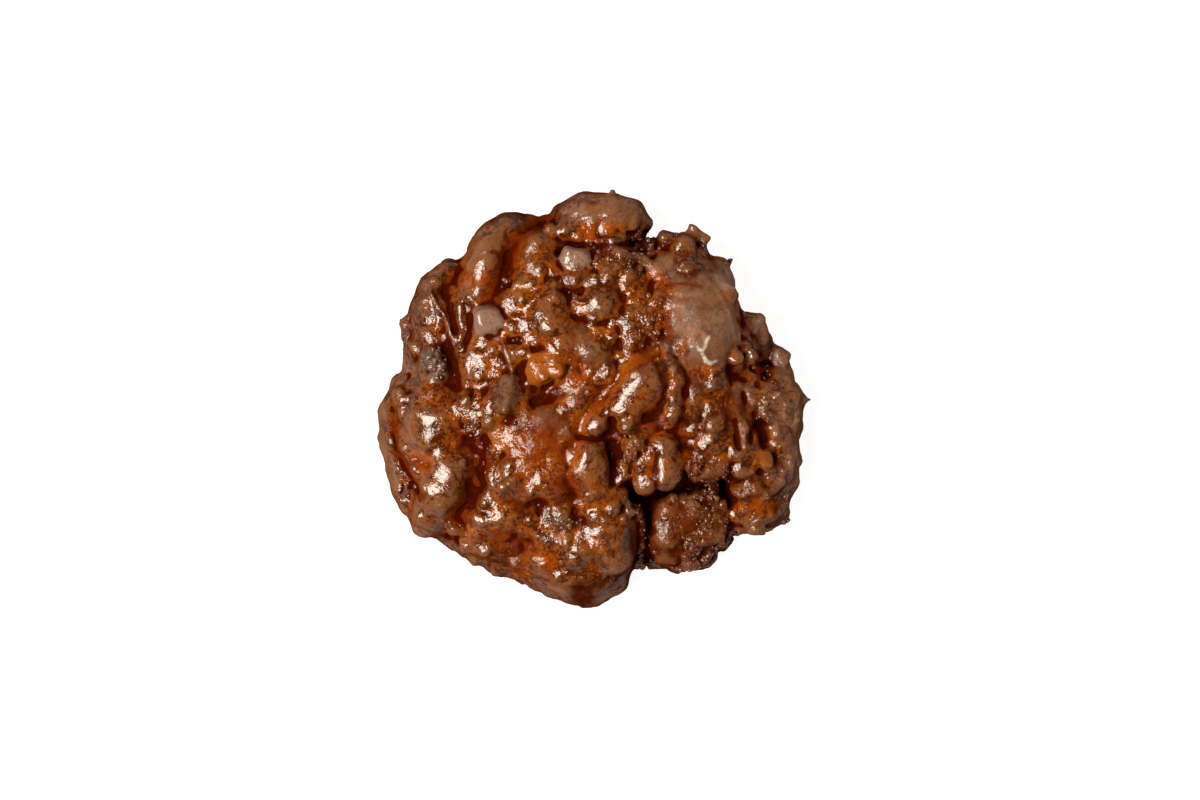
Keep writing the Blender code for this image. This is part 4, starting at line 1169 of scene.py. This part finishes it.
class Wire:
    """One number of a material as it varies over a surface. Operators add the Math nodes."""

    def __init__(self, finish, socket):
        self.finish = finish
        self.socket = socket

    def math(self, operation, *others):
        return self.finish.node("ShaderNodeMath", {"operation": operation}, self, *others)

    def __add__(self, other):
        return self.math("ADD", other)

    __radd__ = __add__

    def __mul__(self, other):
        return self.math("MULTIPLY", other)

    __rmul__ = __mul__

    def __sub__(self, other):
        return self.math("SUBTRACT", other)

    def __rsub__(self, other):
        return self.finish.node("ShaderNodeMath", {"operation": "SUBTRACT"}, other, self)

    def between(self, low, high):
        """0 below low, 1 above high, and a smooth rise between them."""
        settings = {"interpolation_type": "SMOOTHSTEP", "clamp": True}
        return self.finish.node("ShaderNodeMapRange", settings, self, low, high, 0.0, 1.0)


class Finish:
    """A material as it is put together: its Principled shader and the nodes that feed it."""

    def __init__(self, name, **constants):
        self.material = bpy.data.materials.new(name)
        self.material.use_nodes = True
        self.nodes = self.material.node_tree.nodes
        self.links = self.material.node_tree.links
        self.shader = self.nodes["Principled BSDF"]
        self.ending = self.nodes["Material Output"].inputs["Surface"]
        for socket, value in constants.items():
            self.shader.inputs[socket.replace("_", " ")].default_value = value
        self.place = self.node("ShaderNodeTexCoord", {}, output="Object")

    def node(self, kind, settings, *inputs, output=0, **named):
        """Adds a node: its settings first, then its sockets in order, or by name."""
        node = self.nodes.new(kind)
        for setting, value in settings.items():
            setattr(node, setting, value)
        for key, value in [*enumerate(inputs), *((k.replace("_", " "), v) for k, v in named.items())]:
            self.feed(node.inputs[key], value)
        return Wire(self, node.outputs[output])

    def feed(self, socket, value):
        """Links a wire to a socket, or sets a plain value on it."""
        if isinstance(value, Wire):
            self.links.new(value.socket, socket)
        else:
            socket.default_value = value

    def noise(self, size, detail=2.0, rough=0.5, twist=0.0):
        """Noise from 0 to 1 with bumps of that size in millimetres."""
        return self.node(
            "ShaderNodeTexNoise", {}, Vector=self.place, Scale=1 / (size * MM), Detail=detail,
            Roughness=rough, Distortion=twist,
        )

    def bent(self, size, amount):
        """Places moved by a noise of that size, by as many millimetres as the amount."""
        noise = self.node(
            "ShaderNodeTexNoise", {}, Vector=self.place, Scale=1 / (size * MM), Detail=2.0, output="Color"
        )
        shift = self.node("ShaderNodeVectorMath", {"operation": "SCALE"}, noise, Scale=amount * MM)
        return self.node("ShaderNodeVectorMath", {"operation": "ADD"}, self.place, shift)

    def cells(self, size, feature, place=None):
        """Cells of that size in millimetres: distance from the middle of each, or from the nearest edge."""
        settings = {"feature": feature}
        return self.node("ShaderNodeTexVoronoi", settings, Vector=place or self.place, Scale=1 / (size * MM))

    def carried(self, name):
        """A number that the piece carries at its points."""
        return self.node("ShaderNodeAttribute", {"attribute_name": name}, output="Fac")

    def mix(self, share, first, second):
        """A colour between two: the first where share is 0, the second where it is 1."""
        mixer = self.nodes.new("ShaderNodeMix")
        mixer.data_type = "RGBA"
        for name, value in (("Factor_Float", share), ("A_Color", first), ("B_Color", second)):
            self.feed(next(s for s in mixer.inputs if s.identifier == name), value)
        return Wire(self, next(s for s in mixer.outputs if s.identifier == "Result_Color"))

    def bump(self, height, size, under=None):
        """Normals of a relief of that many millimetres."""
        named = {"Normal": under} if under else {}
        return self.node("ShaderNodeBump", {}, Height=height, Distance=size * MM, Strength=1.0, **named)

    def set(self, **sockets):
        """Feeds the first Principled shader's sockets."""
        for name, value in sockets.items():
            self.feed(self.shader.inputs[name.replace("_", " ")], value)
        return self.material

    def layer(self, share, **sockets):
        """Lays another Principled shader over those before it: it alone shows where share is 1."""
        under = Wire(self, self.ending.links[0].from_socket)
        over = self.node("ShaderNodeBsdfPrincipled", {}, **sockets)
        self.feed(self.ending, self.node("ShaderNodeMixShader", {}, share, under, over))
        return self.material


# Colours of the fried crust and what lies on it, as they show in this light
TONE_SHARE = 0.62  # the light is so bright that a surface has to be this much darker than it shows
TONES = {
    "mahogany": tone("481A04"),
    "caramel": tone("763B13"),
    "orange": tone("994207"),
    "gold": tone("A35B10"),
    "amber": tone("9E530D"),
    # lighter brown: painted light and sheen on tops, and random light specks
    "tan": tone("845335"),
    # greyish pink-brown: painted sheen on hazy places, partly a milky film
    "mauve": tone("815A3F"),
    # light brown: a painted reflection on steep rims, and the colour of crumbs
    "toast": tone("7E4E32"),
    # dark red-brown: painted shade in dips and valleys, partly the crust's own dark mottles
    "russet": tone("642004"),
    # near black: painted shade in creases and clefts, partly burnt sugar
    "burnt": tone("3A0900"),
    "charred": tone("6A5648"),
    "pale": tone("94705E"),
    # near white: painted highlights on glaze ridges, partly set glaze
    "milk": tone("E0D2C4"),
}


def crust_relief(finish, rough, crack):
    """Wrinkles, grain and pimples of the glaze, one bump over the other, deeper where it is rough."""
    fine = finish.noise(0.6, 2.0, 0.6)
    wrinkles = finish.noise(2.0, 2.0, 0.5, 1.0)
    pimples = finish.cells(1.2, "SMOOTH_F1")
    relief = finish.bump(wrinkles * (0.42 + rough * 1.6) - crack * 0.4, 0.35)
    relief = finish.bump(fine * (0.55 + rough * 0.2), 0.15, relief)
    return finish.bump(pimples * (0.08 + rough * 0.5), 0.35, relief)


def crust_finish():
    """Fried dough under sugar glaze.

    Slopes are mahogany and caramel, with orange and gold where the glaze lies thick in shallow
    valleys, partly a painted glow of light through it. Tops are tan as painted light, steep rims
    toast as a painted reflection, and hazy places mauve, partly a milky film and partly painted
    sheen. Dips are russet and closed creases near black: painted shade, partly burnt sugar. Fruit
    and charred bits have their own tones, and white strokes paint highlights, partly set glaze.
    Three shaders lie over each other: wet glaze, then satin where its share says, then dry crust
    in creases and on steep sides.
    """
    finish = Finish("glazed_crust", IOR=1.55, Specular_IOR_Level=0.52)
    patches = finish.noise(12, 3.0, 0.55, 0.6)
    mottle = finish.noise(3.6, 3.0, 0.55, 0.8)
    blotch = finish.noise(5.0, 2.0, 0.5, 1.2)
    streaks = finish.noise(2.4, 2.0, 0.5, 2.5)
    grain = finish.noise(0.9, 2.0, 0.5)
    carried = {name: finish.carried(name) for name in ("up", *SHARES, *FINISHES)}
    fold, valley, depth = (carried[name] for name in SHARES)
    up, rough, orange, russet = (carried[name] for name in ("up", "rough", "orange", "russet"))
    steep = 1 - up.between(0.25, 0.82)
    spread = ((mottle - 0.5) * 0.9 + (streaks - 0.5) * 0.6 + (grain - 0.5) * 0.6) * (1 - steep * 0.5)

    # Mahogany to caramel at random, a little lighter on crests and darker in valleys as painted light and
    # shade.
    tan = (0.5 + spread * 1.3 + (patches - 0.5) * 0.7 + (0.5 - valley) * 0.4).between(0.36, 0.66)
    # Orange and gold where the glaze pools in valleys: partly its own colour, partly a painted glow of light
    # through it.
    glow = (orange + (valley - 0.47) * 3.0 + (patches - 0.47) * 0.9 + spread * 1.2).between(0.05, 0.8)
    gold = ((blotch - 0.5) * 0.6 + spread * 0.5 + 0.5).between(0.46, 0.72)
    # Painted light: tops that face up and stand proud, and the tan patches, turn tan as light and sheen on
    # them.
    crest = (0.51 - valley + (blotch - 0.5) * 0.35).between(0.0, 0.14) * up.between(0.35, 0.9)
    crest = (crest + carried["tan"] + spread * 0.9).between(0.35, 1.15) * 0.75 * (1 - glow * 0.6)
    # Painted reflection: steep sides of crests turn toast, as the bright table would show in the glaze
    # there.
    edge = (0.46 - valley).between(0.0, 0.12) * (1 - up.between(0.15, 0.7))
    # Painted sheen: hazy lumps and patches turn mauve, partly a milky film of glaze and partly painted
    # sheen.
    haze = carried["hazy"] * 0.9 + (patches - 0.5) * 1.1 + (blotch - 0.5) * 0.7 - glow * 0.5
    amber = (carried["amber"] + spread * 0.8).between(0.2, 1.0)
    charred = (carried["charred"] + spread * 0.5).between(0.25, 0.85)
    pale = (carried["pale"] + spread * 0.4).between(0.3, 0.8)
    # Painted shade: dips and valleys turn dark red-brown, and more so under the dark red strokes and
    # patches.
    dip = (valley + (depth - 0.5) * 0.6 + (mottle - 0.5) * 0.25).between(0.52, 0.68)
    dip = (dip * (1 - orange * 0.8) + russet).between(0.0, 1.0)
    # Painted shade: in pits, closed creases and the dark-painted places, the crust goes near black where
    # much solid lies round it. It is partly burnt sugar as well.
    pit_shade = (fold - 0.505).between(0.0, 0.08) * (0.3 + rough * 0.4)
    shut = (fold - 0.52 + (depth - 0.5) * 0.6).between(0.03, 0.17)
    crease = (shut + pit_shade) * (1 - orange * 0.7) + (carried["burnt"] + spread * 0.6).between(0.3, 0.9)
    crease = crease.between(0.0, 1.0)
    crack = 1 - finish.cells(3.2, "DISTANCE_TO_EDGE", finish.bent(4.0, 3.5)).between(0.0, 0.14)
    crack = crack * (rough + (mottle - 0.5) * 1.2).between(0.25, 0.75)
    dark = (0.47 - grain * 0.15 - streaks * 0.85).between(0.0, 0.12) * (0.3 + rough * 0.7) + crack * 0.25
    veins = (0.48 - streaks).between(0.0, 0.15) * (1 - steep)
    specks = (grain - 0.5).between(0.0, 0.25) * (1 - crease) * (1 - glow)
    # Painted highlights: along the white strokes the crust turns milky white, partly set glaze and partly
    # glints on its ridges.
    milk = (carried["milk"] * (mottle * 1.6 + 0.1)).between(0.3, 0.75)

    colour = finish.mix(tan, TONES["mahogany"], TONES["caramel"])
    colour = finish.mix(glow * 0.9, colour, finish.mix(gold, TONES["orange"], TONES["gold"]))
    # Over the random browns lie painted light on tops, painted reflection on rims, painted sheen, painted
    # shade in dips and creases and painted highlights, with the own tones of fruit and charred bits.
    for share, name in (
        (crest, "tan"), (edge * 0.5, "toast"), (haze.between(0.2, 0.95) * 0.8, "mauve"),
        (amber * 0.9, "amber"), (charred * 0.9, "charred"), (pale, "pale"), (dip * 0.85, "russet"),
        (crease * 0.95, "burnt"), (dark.between(0.0, 1.0) * (1 - steep) * 0.6, "russet"),
        (veins * 0.3, "mahogany"), (specks * 0.25, "tan"), (milk * 0.8, "milk"),
    ):
        colour = finish.mix(share, colour, TONES[name])

    relief = crust_relief(finish, rough, crack)
    finish.set(Base_Color=colour, Roughness=0.03 + grain * 0.06, Normal=relief)
    satin = carried["satin"] * 1.4 + pale * 0.4 + (0.4 - grain) * 2.0 + spread * 0.2 + steep * 0.3
    satin = satin.between(0.2, 0.9)
    finish.layer(satin, Base_Color=colour, Roughness=0.46, Normal=relief, IOR=1.45, Specular_IOR_Level=0.24)
    dry = (crease + dip * 0.6 * (1 - glow) + steep + russet).between(0.0, 1.1)
    return finish.layer(dry, Base_Color=colour, Roughness=0.6, Normal=relief, Specular_IOR_Level=0.0)


def crumb_finish():
    """Grains of sugar and crumbs fried in it: mahogany, toast or amber, each grain one shade."""
    finish = Finish("fried_crumbs", IOR=1.55, Specular_IOR_Level=0.52)
    shade = finish.carried("shade")
    grain = finish.noise(0.5)
    shade = shade + (grain - 0.5) * 0.4
    colour = finish.mix(shade.between(0.0, 0.8), TONES["mahogany"], TONES["toast"])
    colour = finish.mix(shade.between(0.85, 1.1), colour, TONES["amber"])
    return finish.set(Base_Color=colour, Roughness=0.1 + grain * 0.2, Normal=finish.bump(grain, 0.1))


def make_crumbs(crust, material):
    """Crumbs on the rough crust, each a small uneven ball on a grid of turns and heights.

    A crumb's point at turn t and height h, from -1 to 1, is its place + radius x (cos t x s, sin t x s,
    h x flatness), where s = sqrt(1 - h^2), times a random share of CRUMB_SPREAD. The balls are
    turned so that their height runs along the crust's normal, and a pole closes each end.
    """
    mesh = crust.data
    points = read(mesh.vertices, "co", 3).astype(float) / MM
    normals = read(mesh.vertices, "normal", 3).astype(float)
    rough, pale = (read(mesh.attributes[name].data, "value")[:, 0] for name in ("rough", "pale"))
    draw = np.random.default_rng(CRUMB_DRAW)
    wanted = np.clip(rough - CRUMB_ROUGHEST[0], 0, CRUMB_ROUGHEST[1]) * (1 - pale)
    wanted *= normals[:, 2] > CRUMB_LEVELNESS
    picked = draw.choice(len(points), CRUMB_TOTAL, replace=False, p=wanted / wanted.sum())
    middle, up = points[picked], normals[picked]
    side = np.cross(up, draw.normal(size=(CRUMB_TOTAL, 3)))
    side /= np.linalg.norm(side, axis=1, keepdims=True)
    front = np.cross(up, side)
    radius = CRUMB_RADII[0] + (CRUMB_RADII[1] - CRUMB_RADII[0]) * draw.random(CRUMB_TOTAL) ** 2.5
    heights = np.concatenate([[-1], np.repeat(CRUMB_RINGS, CRUMB_TURNS), [1]])
    turns = np.concatenate([[0], np.tile(np.arange(CRUMB_TURNS), len(CRUMB_RINGS)), [0]])
    turns = turns * math.tau / CRUMB_TURNS
    across = np.sqrt(1 - heights**2)
    share = draw.uniform(*CRUMB_SPREAD, (CRUMB_TOTAL, len(heights))) * radius[:, None]
    local = np.stack([np.cos(turns) * across, np.sin(turns) * across, heights * CRUMB_FLATNESS], axis=1)
    local = share[:, :, None] * local
    axes = np.stack([side, front, up], axis=1)
    places = middle[:, None] + np.einsum("cpk,ckj->cpj", local, axes)
    places += up[:, None] * (radius * CRUMB_FLATNESS * CRUMB_LIFT)[:, None, None]
    around = np.arange(CRUMB_TURNS)
    ahead = np.roll(around, -1)
    faces = [np.stack([0 * around, 1 + ahead, 1 + around], axis=1)]
    for ring in range(len(CRUMB_RINGS) - 1):
        low, high = 1 + ring * CRUMB_TURNS, 1 + (ring + 1) * CRUMB_TURNS
        faces += [
            np.stack([low + around, low + ahead, high + ahead], axis=1),
            np.stack([low + around, high + ahead, high + around], axis=1),
        ]
    last = 1 + (len(CRUMB_RINGS) - 1) * CRUMB_TURNS
    faces.append(np.stack([last + around, last + ahead, 0 * around + len(heights) - 1], axis=1))
    faces = np.concatenate(faces)
    faces = (faces[None] + len(heights) * np.arange(CRUMB_TOTAL)[:, None, None]).reshape(-1, 3)
    crumbs = new_piece("fried_crumbs", places.reshape(-1, 3), faces, material)
    give(crumbs.data, "shade", np.repeat(draw.random(CRUMB_TOTAL), len(heights)))
    return crumbs


def area_light(name, place, aim, size, radiance, tint=(1, 1, 1)):
    """A square softbox of that side in metres, turned to face the aim. Power is radiance x pi x area."""
    lamp = bpy.data.lights.new(name, "AREA")
    lamp.shape = "SQUARE"
    lamp.size = size
    lamp.energy = radiance * math.pi * size**2
    lamp.color = tint
    holder = bpy.data.objects.new(name, lamp)
    bpy.context.scene.collection.objects.link(holder)
    holder.location = place
    holder.rotation_euler = (Vector(aim) - Vector(place)).to_track_quat("-Z", "Y").to_euler()
    return holder


def make_room():
    """A pale room, a little brighter round the horizon than overhead."""
    room = bpy.data.worlds.new("room")
    room.use_nodes = True
    nodes, links = room.node_tree.nodes, room.node_tree.links
    direction = nodes.new("ShaderNodeTexCoord")
    height = nodes.new("ShaderNodeSeparateXYZ")
    radiance = nodes.new("ShaderNodeMapRange")
    radiance.inputs["From Max"].default_value = ROOM_DIM_FROM
    radiance.inputs["To Min"].default_value = ROOM_RADIANCE["level"]
    radiance.inputs["To Max"].default_value = ROOM_RADIANCE["overhead"]
    links.new(direction.outputs["Generated"], height.inputs[0])
    links.new(height.outputs["Z"], radiance.inputs["Value"])
    nodes["Background"].inputs["Color"].default_value = (*PANEL_TINT, 1)
    links.new(radiance.outputs[0], nodes["Background"].inputs["Strength"])
    bpy.context.scene.world = room


def make_stage():
    """A pale table, a bright softbox high on the left, a wide dim panel on the upper right, and a room."""
    finish = Finish("table_top", Base_Color=(*[TABLE_TONE] * 3, 1), Roughness=0.7, Emission_Strength=1.0)
    seen = finish.node("ShaderNodeLightPath", {}, output="Is Camera Ray")
    finish.set(Emission_Color=finish.mix(seen, TABLE_GLOW["round"], TABLE_GLOW["seen"]))
    table = new_piece("table_top", np.array(TABLE_CORNERS), [[0, 1, 2, 3]], finish.material)
    make_room()
    area_light("key", KEY_PLACE, (0, 0, 0), KEY_SIZE, KEY_RADIANCE, KEY_TINT)
    panel = area_light("panel", PANEL_PLACE, (0, 0, 0), PANEL_SIZE, PANEL_RADIANCE, PANEL_TINT)
    panel.visible_glossy = False
    bpy.context.scene.view_settings.view_transform = "Standard"


def make_camera():
    """Straight down, from that distance above the focus level."""
    lens = bpy.data.cameras.new("camera")
    lens.sensor_width = SENSOR_WIDTH
    lens.lens = SENSOR_WIDTH * CAMERA_DISTANCE / FRAME_WIDTH
    camera = bpy.data.objects.new("camera", lens)
    camera.location = (FRAME_MIDDLE[0], FRAME_MIDDLE[1], FOCUS_LEVEL + CAMERA_DISTANCE)
    bpy.context.scene.collection.objects.link(camera)
    bpy.context.scene.camera = camera


def main():
    make_camera()
    make_stage()
    crust = make_crust(fritter_volume(), crust_finish())
    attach(crust, "root")
    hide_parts("fritter")
    crumbs = make_crumbs(crust, crumb_finish())
    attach(crumbs, "root")


main()
